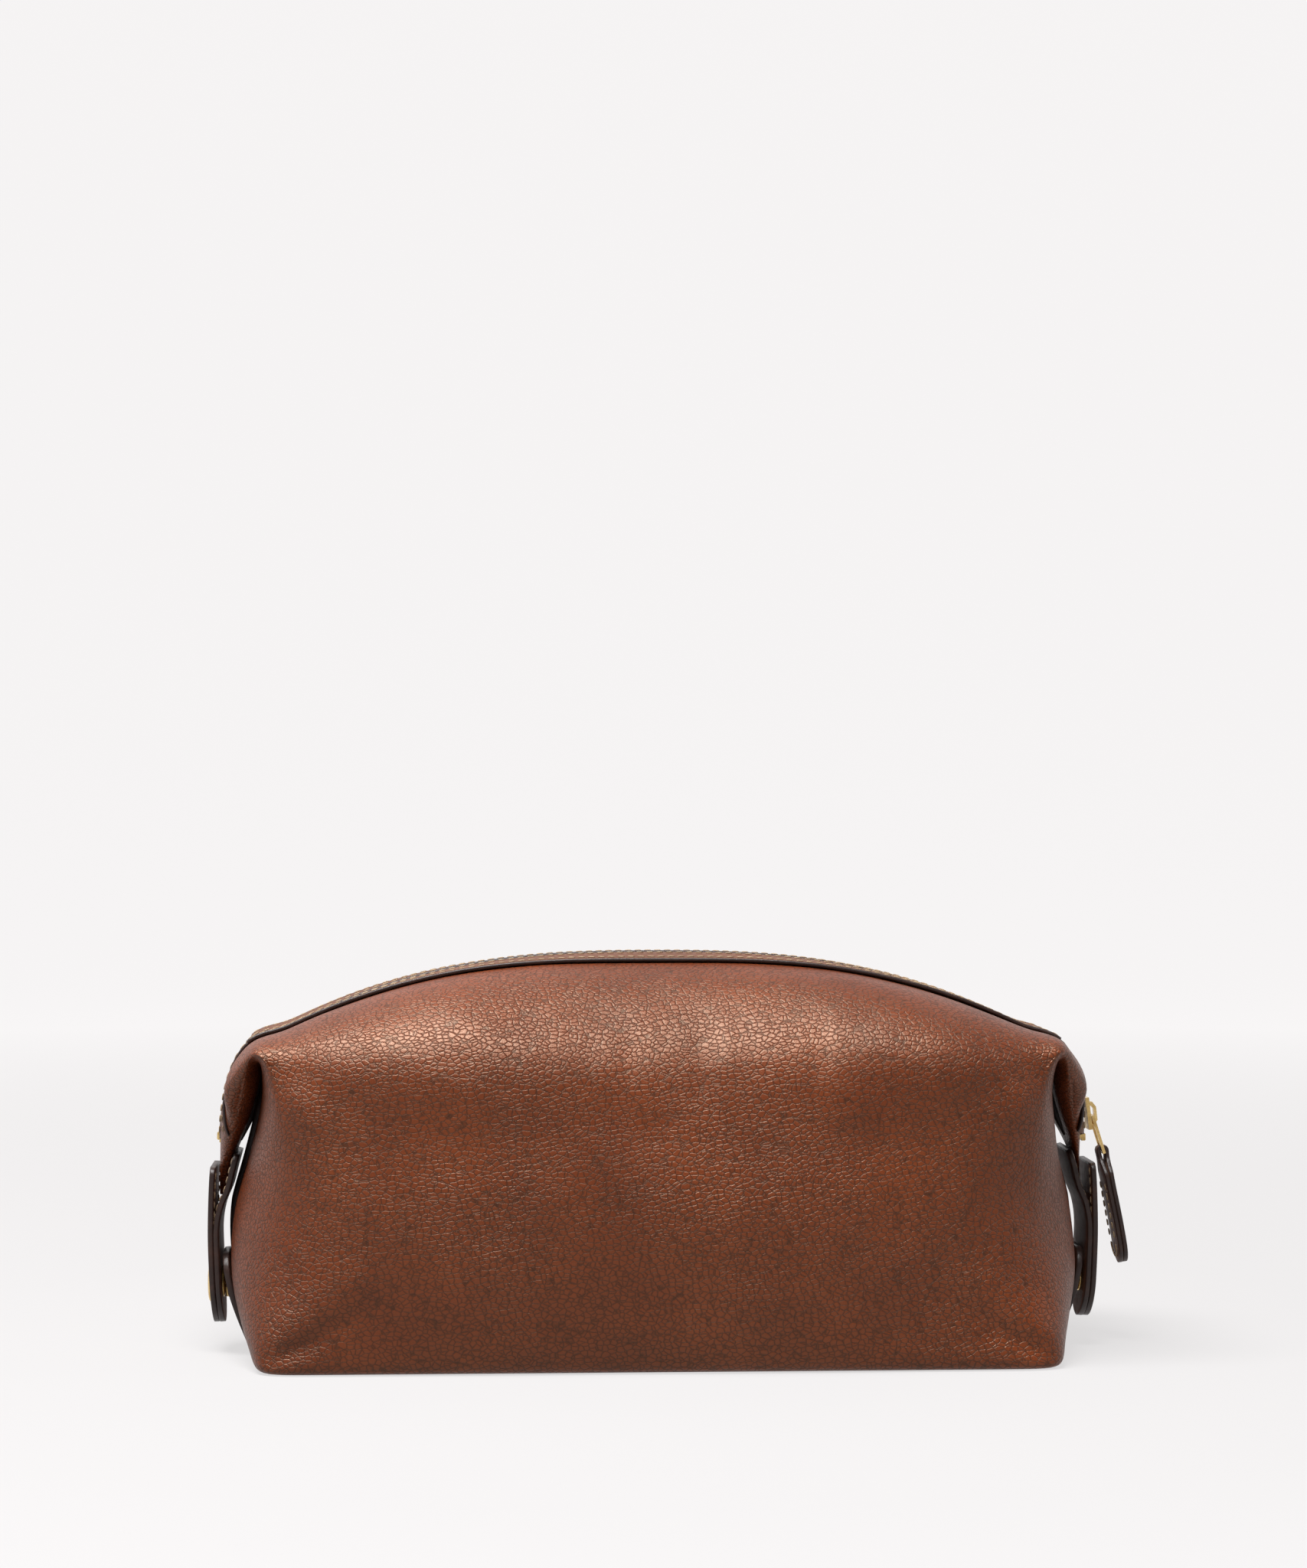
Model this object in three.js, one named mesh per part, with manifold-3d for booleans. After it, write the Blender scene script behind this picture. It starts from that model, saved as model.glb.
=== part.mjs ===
// Leather shaving kit bag: soft zip-top bag on a flat base, with a folded ear, a snap strap and a
// snap tab at each end. Millimetres, +Z up, +X along the bag to the end that carries the zip pull,
// the front panel towards -Y, origin at the middle of the base.
import * as THREE from "three";
import Module from "manifold-3d";

// ---------------------------------------------------------------- driving dimensions
const BASE_HALF_DEPTH = 53;
const BASE_HALF_LENGTH = 114;
const BELLY_BULGE_END = 10;
const BELLY_HALF_DEPTH = 57.5;
const BELLY_HEIGHT = 43;
const ZIP_HEIGHT = 117.6;
const SHOULDER_HEIGHT = 91.5;
const SHOULDER_HALF = 114;
const EAR_LENGTH = 46;
const EAR_TIP = { x: 130, z: 46 };
const EAR_PUFF = 5.2;
const EAR_TIP_HALF = 1.9;
const EAR_TIP_REACH = 14;
const EAR_WIDEN = 1.05;
const CREASE_WIDEN = 1.03;
const END_SEAM = 150;
const ZIP_HALF_PATH = BASE_HALF_DEPTH + BASE_HALF_LENGTH;
const LEATHER = 1.6;
const LINING = 0.8;
const CLEAR = 1.3;
const SLOT_HALF = 8;

// ---------------------------------------------------------------- small helpers
const lerp = (p, q, t) => p + (q - p) * t;
const clamp01 = (t) => Math.min(1, Math.max(0, t));
const smooth = (p, q, v) => {
  const t = clamp01((v - p) / (q - p));
  return t * t * (3 - 2 * t);
};

// Point at a distance along a polyline, the whole line being scaled to a stated total length.
function along(line, distance, total) {
  const lengths = [0];
  for (let i = 1; i < line.length; i++) {
    const [p, q] = [line[i - 1], line[i]];
    lengths.push(lengths[i - 1] + Math.hypot(q[0] - p[0], q[1] - p[1]));
  }
  const target = (clamp01(distance / total)) * lengths[lengths.length - 1];
  let k = 1;
  while (k < lengths.length - 1 && lengths[k] < target) k++;
  const t = (target - lengths[k - 1]) / (lengths[k] - lengths[k - 1]);
  return [lerp(line[k - 1][0], line[k][0], t), lerp(line[k - 1][1], line[k][1], t)];
}

// ---------------------------------------------------------------- the bag's form
// Height of the leather under the zip at a distance x from the middle.
function zipHeight(x) {
  const drop = ZIP_HEIGHT - SHOULDER_HEIGHT;
  return ZIP_HEIGHT - drop * Math.pow(Math.abs(x) / SHOULDER_HALF, 2.6);
}

// The zip's line over the roof, from the shoulder fold to the middle: [x, z].
const ROOF_LINE = [];
for (let k = 0; k <= 60; k++) {
  const x = (SHOULDER_HALF + 4) * (1 - k / 60);
  ROOF_LINE.push([x, zipHeight(Math.min(x, SHOULDER_HALF))]);
}

// Cross section from the zip down to the base edge at a distance a from the end seam: [y, z].
const sectionCache = new Map();
function section(a) {
  if (sectionCache.has(a)) return sectionCache.get(a);
  const toMiddle = clamp01((a - EAR_LENGTH) / (ZIP_HALF_PATH - EAR_LENGTH));
  const squareness = 2.35 + 4.5 * Math.pow(1 - toMiddle, 2);
  const top = along(ROOF_LINE, a - EAR_LENGTH, ZIP_HALF_PATH - EAR_LENGTH)[1];
  const lift = 3.5 * Math.pow(1 - toMiddle, 3);
  const depth = lerp(BASE_HALF_DEPTH - 1.5, BELLY_HALF_DEPTH, smooth(0, 0.7, toMiddle));
  const line = [];
  for (let k = 0; k <= 40; k++) {
    const angle = (Math.PI / 2) * (k / 40);
    const y = depth * Math.pow(Math.sin(angle), 2 / squareness);
    const z = BELLY_HEIGHT + (top - BELLY_HEIGHT) * Math.pow(Math.cos(angle), 2 / squareness);
    line.push([-y, z + lift * Math.sin(Math.PI * clamp01(y / depth)) * clamp01(z - BELLY_HEIGHT)]);
  }
  for (let k = 1; k <= 8; k++) {
    const t = k / 8;
    line.push([-lerp(depth, BASE_HALF_DEPTH, t * t), BELLY_HEIGHT * (1 - t)]);
  }
  sectionCache.set(a, line);
  return line;
}

// Outline of the bag seen from above at a share t of the way down its end face.
function outlinePoint(a, halfDepth, t) {
  const waist = Math.pow(Math.sin(Math.PI * Math.pow(t, 1.6)), 1.3);
  const halfLength = SHOULDER_HALF + 0.5 + 2.5 * t + BELLY_BULGE_END * waist;
  const radius = 5 + 36 * Math.pow(Math.sin(Math.PI * Math.pow(clamp01(t), 1.15)), 1.1);
  const line = [[halfLength, 0]];
  for (let k = 0; k <= 12; k++) {
    const angle = (Math.PI / 2) * (k / 12);
    line.push([
      halfLength - radius + radius * Math.cos(angle),
      -(halfDepth - radius) - radius * Math.sin(angle),
    ]);
  }
  line.push([0, -halfDepth]);
  return along(line, a, ZIP_HALF_PATH);
}

// Control point of the leather, at distance a from the end seam and b from the zip.
function earPoint(a, b) {
  const fromTip = Math.max(a, b);
  const lateral = Math.min(a, b);
  const share = fromTip / EAR_LENGTH;
  const onFold = a === b;
  const tipReach = fromTip === 0 ? EAR_TIP_REACH : 0;
  const x = lerp(EAR_TIP.x, SHOULDER_HALF + 4.5, share);
  const z = lerp(EAR_TIP.z - tipReach, SHOULDER_HEIGHT + 1, share);
  const lobe = fromTip > 0 ? smooth(0, 0.6, lateral / fromTip) : 0;
  const side = onFold ? 0 : Math.sign(a - b);
  const middleShare = side > 0 ? 0.75 : 0.3;
  const puff = lerp(EAR_TIP_HALF, EAR_PUFF, smooth(0, 0.6, share)) * lerp(middleShare, 1, lobe);
  return [x + side * puff, -lateral * EAR_WIDEN, z + side * puff * 0.25];
}

function creasePoint(a, b) {
  if (a === b) return [SHOULDER_HALF + 3.5, -EAR_LENGTH - 1, SHOULDER_HEIGHT + 0.5];
  if (a > b) return [SHOULDER_HALF + 6.5, -b * CREASE_WIDEN, SHOULDER_HEIGHT + 1.5 + 2.5 * (b / EAR_LENGTH)];
  return [SHOULDER_HALF + 2.5, -a * CREASE_WIDEN, SHOULDER_HEIGHT];
}

function panelPoint(a, b) {
  const down = clamp01((b - EAR_LENGTH) / (END_SEAM - EAR_LENGTH));
  const [ySection, zSection] = along(section(Math.max(a, EAR_LENGTH)), b, END_SEAM);
  const [x, y] = outlinePoint(a, Math.abs(ySection), down);
  const zEnd = (SHOULDER_HEIGHT - 2) * (1 - down);
  return [x, y, lerp(zEnd, zSection, smooth(30, 75, a))];
}

function roofPoint(a, b) {
  const [xZip] = along(ROOF_LINE, a - EAR_LENGTH, ZIP_HALF_PATH - EAR_LENGTH);
  const [y, z] = along(section(a), b, END_SEAM);
  const [xPanel] = outlinePoint(a, BASE_HALF_DEPTH, 0.1);
  return [lerp(xZip, xPanel, smooth(0, EAR_LENGTH, b)), y, z];
}

function hidePoint(a, b) {
  if (Math.max(a, b) < EAR_LENGTH) return earPoint(a, b);
  if (Math.max(a, b) === EAR_LENGTH) return creasePoint(a, b);
  if (b <= EAR_LENGTH) return roofPoint(a, b);
  return panelPoint(a, b);
}

// Base ring at a stated inset from the base edge.
function basePoint(a, inset) {
  const [x, y] = hidePoint(a, END_SEAM);
  const shareY = (BASE_HALF_DEPTH - inset) / BASE_HALF_DEPTH;
  if (a <= BASE_HALF_DEPTH) return [x - inset, y * shareY, 0];
  return [x * (1 - (inset / (BASE_HALF_LENGTH + 2))), y * shareY, 0];
}

const STEP = EAR_LENGTH / 4;
const COLUMNS = [0, 1, 2, 3, 4].map((k) => k * STEP);
COLUMNS.push(BASE_HALF_DEPTH, 62, 74, 88, 104, 120, 136, 152, ZIP_HALF_PATH);
const ROWS = [0, 1, 2, 3, 4, 5, 6, 7, 8, 9, 10, 11].map((k) => k * STEP);
ROWS.push(138, 144.5, END_SEAM);
const INSETS = [6, 14, 26, 40];
const LAST_COLUMN = COLUMNS.length - 1;
const EDGE_ROW = ROWS.length - 1;
const LAST_ROW = EDGE_ROW + INSETS.length;

const net = COLUMNS.map((a) => [
  ...ROWS.map((b) => hidePoint(a, b)),
  ...INSETS.map((inset) => basePoint(a, inset)),
]);

function control(i, j) {
  if (i < 0) return mirrored(control(-i, j), 1, -1);
  if (j < 0) return mirrored(control(i, -j), 1, -1);
  if (i > LAST_COLUMN) return mirrored(control(2 * LAST_COLUMN - i, j), -1, 1);
  return net[i][Math.min(j, LAST_ROW)];
}

function mirrored(point, sx, sy) {
  return [point[0] * sx, point[1] * sy, point[2]];
}

// Cubic B-spline weights.
function weights(t) {
  return [
    (1 - t) ** 3 / 6,
    (3 * t ** 3 - 6 * t ** 2 + 4) / 6,
    (-3 * t ** 3 + 3 * t ** 2 + 3 * t + 1) / 6,
    t ** 3 / 6,
  ];
}

// Point of the leather's outer face at net coordinates (u, v), on the +X, -Y quarter.
function hide(u, v) {
  const i = Math.floor(u);
  const j = Math.floor(v);
  const wu = weights(u - i);
  const wv = weights(v - j);
  const sum = [0, 0, 0];
  for (let p = 0; p < 4; p++) {
    for (let q = 0; q < 4; q++) {
      const point = control(i - 1 + p, j - 1 + q);
      for (let c = 0; c < 3; c++) sum[c] += wu[p] * wv[q] * point[c];
    }
  }
  return sum;
}

function hideNormal(u, v) {
  const h = 0.02;
  const du = new THREE.Vector3(...hide(u + h, v)).sub(new THREE.Vector3(...hide(u - h, v)));
  const dv = new THREE.Vector3(...hide(u, v + h)).sub(new THREE.Vector3(...hide(u, v - h)));
  return du.cross(dv).normalize();
}

// ---------------------------------------------------------------- building closed solids
// Triangles of a closed surface given as faces of points, with the points shared.
function indexed(faces) {
  const points = [];
  const keys = new Map();
  const triangles = [];
  const indexOf = (p) => {
    const key = p.map((c) => Math.round(c * 1e4) + 0).join();
    if (!keys.has(key)) {
      keys.set(key, points.length);
      points.push(p);
    }
    return keys.get(key);
  };
  for (const face of faces) {
    const ids = face.map(indexOf);
    for (let k = 2; k < ids.length; k++) {
      const [p, q, r] = [ids[0], ids[k - 1], ids[k]];
      if (p !== q && q !== r && r !== p) triangles.push(p, q, r);
    }
  }
  return [points, triangles];
}

// Closed solid from faces of points, turned to face outwards.
function solid(faces) {
  const [points, triangles] = indexed(faces);
  let volume = 0;
  for (let k = 0; k < triangles.length; k += 3) {
    const [p, q, r] = triangles.slice(k, k + 3).map((id) => new THREE.Vector3(...points[id]));
    volume += p.dot(q.cross(r));
  }
  if (volume < 0) triangles.reverse();
  const geometry = new THREE.BufferGeometry();
  geometry.setAttribute("position", new THREE.Float32BufferAttribute(points.flat(), 3));
  geometry.setIndex(triangles);
  return geometry;
}

const shifted = (point, normal, distance) => [
  point[0] + normal.x * distance,
  point[1] + normal.y * distance,
  point[2] + normal.z * distance,
];

const QUARTERS = [[1, 1], [-1, 1], [1, -1], [-1, -1]];

function steps(from, to, count) {
  return Array.from({ length: count + 1 }, (_, k) => lerp(from, to, k / count));
}

// Faces of one offset of the hide over net cells [u0, v0, u1, v1], in each stated quarter.
function skin(cells, offset, quarters) {
  const cache = new Map();
  const corner = (u, v) => {
    const key = u + "," + v;
    if (!cache.has(key)) cache.set(key, shifted(hide(u, v), hideNormal(u, v), offset));
    return cache.get(key);
  };
  const faces = [];
  for (const [sx, sy] of quarters) {
    for (const [u0, v0, u1, v1] of cells) {
      const face = [corner(u0, v0), corner(u1, v0), corner(u1, v1), corner(u0, v1)];
      const placed = face.map((p) => mirrored(p, sx, sy));
      faces.push(sx * sy < 0 ? placed.reverse() : placed);
    }
  }
  return faces;
}

// Solid between two matching surfaces: their open edges are joined by walls.
function thick(outerFaces, innerFaces) {
  const keyOf = (p) => p.map((c) => Math.round(c * 1e4) + 0).join();
  const edges = new Map();
  outerFaces.forEach((face, f) => {
    face.forEach((p, k) => {
      const next = (k + 1) % face.length;
      const [from, to] = [keyOf(p), keyOf(face[next])];
      if (from === to) return;
      if (edges.has(to + "|" + from)) edges.delete(to + "|" + from);
      else edges.set(from + "|" + to, [p, face[next], innerFaces[f][k], innerFaces[f][next]]);
    });
  });
  const walls = [...edges.values()].map(([p, q, pIn, qIn]) => [q, p, pIn, qIn]);
  return solid([...outerFaces, ...innerFaces.map((face) => [...face].reverse()), ...walls]);
}

function cellsOf(us, vs, keep = () => true) {
  const cells = [];
  for (let i = 1; i < us.length; i++) {
    for (let j = 1; j < vs.length; j++) {
      if (keep(us[i - 1], vs[j - 1])) cells.push([us[i - 1], vs[j - 1], us[i], vs[j]]);
    }
  }
  return cells;
}

// Sheet of leather or cloth that follows the hide between two offsets.
function sheet(cells, outer, inner, quarters) {
  return thick(skin(cells, outer, quarters), skin(cells, inner, quarters));
}

const BODY_US = [...steps(0, 4, 4), 4.7, 5.3, ...steps(6, LAST_COLUMN, 7)];
const SLOT_V = SLOT_HALF / STEP;
const TAPE_EDGE = 12.5;
const BASE_V = 16;
const ROOF_VS = [SLOT_V, TAPE_EDGE / STEP, 1.6, 2.3, 3.1];
const BODY_VS = [...ROOF_VS, ...steps(4, 10, 5), 11.2, 12.4, 13.2, 14, 14.6, 15.2, BASE_V];
const inBody = (u, v) => !(u < 4 && v < 4);
const inLining = (u, v) => !(u < 4.7 && v < 5.2);

// Flat middle of the base at one offset, as a fan of triangles.
function baseFan(offset) {
  const faces = [];
  for (const [sx, sy] of QUARTERS) {
    for (let k = 1; k < BODY_US.length; k++) {
      const pair = [BODY_US[k - 1], BODY_US[k]].map((u) => {
        const point = shifted(hide(u, BASE_V), hideNormal(u, BASE_V), offset);
        return mirrored(point, sx, sy);
      });
      const face = [[0, 0, pair[0][2]], pair[0], pair[1]];
      faces.push(sx * sy < 0 ? [face[0], face[2], face[1]] : face);
    }
  }
  return faces;
}

// Open-topped basket of walls and base between two offsets of the hide.
function basket(outer, inner, keep) {
  const cells = cellsOf(BODY_US, BODY_VS, keep);
  const layer = (offset) => [...skin(cells, offset, QUARTERS), ...baseFan(offset)];
  return thick(layer(outer), layer(inner));
}

// Flattened cone of an ear, from its tip up to the shoulder fold.
const EAR_GAP = 0.08;
function ear() {
  const sizes = [0, 0.5, 0.9, 1.3, 1.7, 2, 2.35, 2.7, 3.1, 3.5, 3.75, 4 - EAR_GAP];
  const count = 8;
  const rings = sizes.map((e) => {
    const outer = steps(0, e, count).map((w) => hide(e, w));
    const inner = steps(e, 0, count).map((w) => hide(w, e));
    return [...outer, ...inner.slice(1)];
  });
  const faces = [];
  for (let r = 1; r < rings.length; r++) {
    for (let k = 1; k < rings[r].length; k++) {
      faces.push([rings[r - 1][k - 1], rings[r][k - 1], rings[r][k], rings[r - 1][k]]);
    }
  }
  const last = rings[rings.length - 1];
  for (let k = 0; k < count; k++) {
    faces.push([last[k + 1], last[k], last[2 * count - k], last[2 * count - k - 1]]);
  }
  const back = faces.map((face) => face.map((p) => mirrored(p, 1, -1)).reverse());
  return solid([...faces, ...back]);
}

// ---------------------------------------------------------------- zip dimensions
const STRIP_LINES = [4.5, SLOT_HALF, TAPE_EDGE, 15.5];
const STRIP_OFFSETS = [2.3, 1];
const TAPE_LINES = [2.9, 4.5, SLOT_HALF, TAPE_EDGE];
const TAPE_OFFSETS = [0.8, 0.2];
const TEETH_LINES = [0.2, 2.7];
const TEETH_OFFSETS = [2.2, 0.1];
const EAR_LIFT = 0.35;
const EAR_ZIP_END = 4 - EAR_GAP;
const ROOF_US = BODY_US.filter((u) => u >= 4);
const EAR_US = [1.7, 2, 2.35, 2.7, 3.1, 3.5, 3.75, EAR_ZIP_END];
const TEETH_EAR_US = [1.3, ...EAR_US];

// Band that runs beside the zip over the whole roof, on one side.
function roofBand(lines, [outer, inner], side) {
  const cells = cellsOf(ROOF_US, lines.map((distance) => distance / STEP));
  return sheet(cells, outer, inner, [[1, side], [-1, side]]);
}

// Band that runs beside the zip down the outer face of an ear.
function earBand(lines, [outer, inner], side, us) {
  const cells = cellsOf(us, lines.map((distance) => distance / STEP));
  return sheet(cells, outer + EAR_LIFT, inner + EAR_LIFT, [[1, side]]);
}

// ---------------------------------------------------------------- ribbons and turned pieces
// Leather ribbon across Y along a line of [x, z], its ends rounded by the stated radii.
function ribbon(line, thickness, halfWidth, startRadius, endRadius) {
  const curve = new THREE.CatmullRomCurve3(line.map(([x, z]) => new THREE.Vector3(x, 0, z)));
  const length = curve.getLength();
  const shares = [0, 0.012, 0.035, 0.08, ...steps(0.16, 0.84, 8), 0.92, 0.965, 0.988, 1];
  const halfAt = (share) => {
    const inset = (distance, radius) => {
      if (radius === 0 || distance >= radius) return 0;
      return radius - Math.sqrt(Math.max(0, radius ** 2 - (radius - distance) ** 2));
    };
    const cut = inset(share * length, startRadius) + inset((1 - share) * length, endRadius);
    return Math.max(1, halfWidth - cut);
  };
  const rings = shares.map((share) => {
    const point = curve.getPointAt(share);
    const along3 = curve.getTangentAt(share);
    const out = new THREE.Vector3(-along3.z, 0, along3.x);
    const w = halfAt(share);
    const corner = (y, d) => [point.x + out.x * d, y, point.z + out.z * d];
    const h = thickness / 2;
    return [corner(-w, -h), corner(w, -h), corner(w, h), corner(-w, h)];
  });
  const faces = [[...rings[0]].reverse(), rings[rings.length - 1]];
  for (let r = 1; r < rings.length; r++) {
    for (let k = 0; k < 4; k++) {
      const n = (k + 1) % 4;
      faces.push([rings[r - 1][k], rings[r - 1][n], rings[r][n], rings[r][k]]);
    }
  }
  return solid(faces);
}

// Turned piece about the X direction through (x, 0, z): profile of [distance along X, radius].
function turned(x, z, profile, count = 20) {
  const ringAt = ([d, r]) => Array.from({ length: count }, (_, k) => {
    const angle = (2 * Math.PI * k) / count;
    return [x + d, r * Math.cos(angle), z + r * Math.sin(angle)];
  });
  const rings = profile.map(ringAt);
  const faces = [[...rings[0]].reverse(), rings[rings.length - 1]];
  for (let r = 1; r < rings.length; r++) {
    for (let k = 0; k < count; k++) {
      const n = (k + 1) % count;
      faces.push([rings[r - 1][k], rings[r - 1][n], rings[r][n], rings[r][k]]);
    }
  }
  return solid(faces);
}

// ---------------------------------------------------------------- strap, tab and snap dimensions
const STRAP_HALF_WIDTH = 12.5;
const STRAP_LAYER = 1.35;
const STRAP_GAP = 0.4;
const STRAP_X = 130.8;
const STRAP_FOOT = 8.6;
const TAB_THICK = 1.9;
const SNAP_HEIGHT = 20.5;
const CAP_RADIUS = 6;
const CAP_HEIGHT = 1;
const SOCKET_RADIUS = 4.6;
const STUD_HEAD_RADIUS = 3.4;
const TAB_STAND_OFF = 1.6;

// Centre line of one strap layer: side 1 lies over the ear's outer face, side -1 under it.
function strapLine(side) {
  const away = side * (STRAP_LAYER + STRAP_GAP) / 2;
  const outerTop = [[131, 55], [131.2, 48]];
  const innerTop = [[123.9, 59.5], [125.3, 54.5], [126.5, 49], [128.5, 43.5]];
  return [
    ...(side > 0 ? outerTop : innerTop),
    [STRAP_X + away, 37],
    [STRAP_X - 0.2 + away, 28],
    [STRAP_X - 0.7 + away, 18],
    [STRAP_X - 1.4 + away, STRAP_FOOT],
  ];
}

// Centre line of the tab: it lies on the end face, its free top standing a little off it.
function tabLine() {
  return steps(10, 13.4, 6).map((v, k) => {
    const lift = TAB_THICK / 2 + (k === 0 ? 0.55 : 0.4);
    const [x, , z] = shifted(hide(0, v), hideNormal(0, v), lift);
    return [x, z];
  });
}

// ---------------------------------------------------------------- zip pull dimensions
const SLIDER_U = 1.92;
const SLIDER_LENGTH = 9.7;
const SLIDER_WIDTH = 7.4;
const SLIDER_LIFT = 2.6;
const PLATE = 1.1;
const BRIDGE_WIDTH = 2.4;
const LINK_LENGTH = 12;
const PULL_LENGTH = 35;
const PULL_WIDTH = 12;
const PULL_THICK = 2.8;

function extrudedAcrossY(shape, width) {
  const settings = { depth: width, bevelEnabled: false, curveSegments: 6 };
  const geometry = new THREE.ExtrudeGeometry(shape, settings);
  geometry.translate(0, 0, -width / 2);
  geometry.rotateX(Math.PI / 2);
  return geometry;
}

function polygon(points) {
  return new THREE.Shape(points.map(([x, y]) => new THREE.Vector2(x, y)));
}

// ---------------------------------------------------------------- unions
const manifold = await Module();
manifold.setup();

function toManifold(geometry) {
  const plain = geometry.index ? geometry.toNonIndexed() : geometry;
  const flat = plain.getAttribute("position").array;
  const faces = [];
  for (let k = 0; k < flat.length; k += 9) {
    faces.push([0, 3, 6].map((d) => [flat[k + d], flat[k + d + 1], flat[k + d + 2]]));
  }
  const [points, triangles] = indexed(faces);
  const mesh = new manifold.Mesh({
    numProp: 3,
    vertProperties: new Float32Array(points.flat()),
    triVerts: new Uint32Array(triangles),
  });
  return new manifold.Manifold(mesh);
}

function union(...geometries) {
  const [first, ...others] = geometries.map(toManifold);
  const joined = others.reduce((sum, other) => sum.add(other), first).getMesh();
  const geometry = new THREE.BufferGeometry();
  const points = new THREE.Float32BufferAttribute(Array.from(joined.vertProperties), 3);
  geometry.setAttribute("position", points);
  geometry.setIndex(Array.from(joined.triVerts));
  return geometry;
}

// Places a piece drawn along local -Y (down) and +X (out) at a point of the XZ plane, leaning out.
function placed(geometry, x, z, lean) {
  geometry.rotateY(-lean);
  geometry.translate(x, 0, z);
  return geometry;
}

// ---------------------------------------------------------------- materials
const finish = (color, roughness, metalness = 0) =>
  new THREE.MeshStandardMaterial({ color, roughness, metalness });
const LEATHER_FINISH = finish(0x8a3f1e, 0.5);
const STRIP_FINISH = finish(0x7a4526, 0.45);
const EDGE_FINISH = finish(0x2a1712, 0.35);
const STRAP_FINISH = finish(0x6e3420, 0.5);
const TAPE_FINISH = finish(0x4a2c1c, 0.9);
const CLOTH_FINISH = finish(0xb9a98c, 0.95);
const BRASS_FINISH = finish(0xc9a45a, 0.3, 1);

const group = new THREE.Group();
group.name = "shaving_kit_bag";

// Adds one named piece; at the left end (end = -1) it is the mirror image.
function add(name, geometry, material, end = 1) {
  if (end < 0) {
    const flat = geometry.index ? geometry.toNonIndexed() : geometry;
    const array = flat.getAttribute("position").array;
    const faces = [];
    for (let k = 0; k < array.length; k += 9) {
      faces.push([0, 3, 6].map((d) => [-array[k + d], array[k + d + 1], array[k + d + 2]]));
    }
    geometry = solid(faces);
  }
  const mesh = new THREE.Mesh(geometry, material);
  mesh.name = name;
  group.add(mesh);
}

// ---------------------------------------------------------------- the bag itself
add("body_leather", basket(0, -LEATHER, inBody), LEATHER_FINISH);
const LINING_OUTER = -LEATHER - CLEAR;
add("lining", basket(LINING_OUTER, LINING_OUTER - LINING, inLining), CLOTH_FINISH);

for (const [word, side] of [["front", 1], ["back", -1]]) {
  const strip = roofBand(STRIP_LINES, STRIP_OFFSETS, side);
  add("zip_strip_" + word, strip, STRIP_FINISH);
  add("zip_tape_" + word, roofBand(TAPE_LINES, TAPE_OFFSETS, side), TAPE_FINISH);
  add("zip_teeth_" + word, roofBand(TEETH_LINES, TEETH_OFFSETS, side), BRASS_FINISH);
}

// ---------------------------------------------------------------- what each end carries
// Fin of two leather edges sewn together along the middle of the end, over rows v0 to v1.
const SEAM_LIFT = 0.35;
const SEAM_PROUD = 1;
function seamFin(v0, v1, count, proud) {
  const line = steps(v0, v1, count).map((v) => {
    const [point, normal] = [hide(0, v), hideNormal(0, v)];
    return [shifted(point, normal, SEAM_LIFT + proud / 2), normal];
  });
  const half = LEATHER - 0.05;
  const rings = line.map(([p, n]) => {
    const corner = (y, d) => [p[0] + n.x * d, y, p[2] + n.z * d];
    const h = proud / 2;
    return [corner(-half, -h), corner(half, -h), corner(half, h), corner(-half, h)];
  });
  const faces = [[...rings[0]].reverse(), rings[rings.length - 1]];
  for (let r = 1; r < rings.length; r++) {
    for (let k = 0; k < 4; k++) {
      const n = (k + 1) % 4;
      faces.push([rings[r - 1][k], rings[r - 1][n], rings[r][n], rings[r][k]]);
    }
  }
  return solid(faces);
}

for (const [word, end] of [["left", -1], ["right", 1]]) {
  add(word + "_ear", ear(), LEATHER_FINISH, end);
  for (const [face, side] of [["front", 1], ["back", -1]]) {
    const strip = earBand(STRIP_LINES, STRIP_OFFSETS, side, EAR_US);
    add(word + "_ear_strip_" + face, strip, STRIP_FINISH, end);
    const tape = earBand(TAPE_LINES, TAPE_OFFSETS, side, EAR_US);
    add(word + "_ear_tape_" + face, tape, TAPE_FINISH, end);
    const teeth = earBand(TEETH_LINES, TEETH_OFFSETS, side, TEETH_EAR_US);
    add(word + "_ear_teeth_" + face, teeth, BRASS_FINISH, end);
  }
  add(word + "_end_seam", seamFin(5.4, 9.5, 8, SEAM_PROUD), EDGE_FINISH, end);
  add(word + "_ear_seam", seamFin(1.7, 3.3, 5, SEAM_PROUD), EDGE_FINISH, end);
  const straps = [["outer", 1], ["inner", -1]];
  for (const [layer, side] of straps) {
    const line = strapLine(side);
    const geometry = ribbon(line, STRAP_LAYER, STRAP_HALF_WIDTH, 0, STRAP_HALF_WIDTH);
    add(word + "_strap_" + layer, geometry, STRAP_FINISH, end);
  }
  const tab = ribbon(tabLine(), TAB_THICK, STRAP_HALF_WIDTH, 6, 0);
  add(word + "_tab", tab, STRAP_FINISH, end);
}

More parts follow.
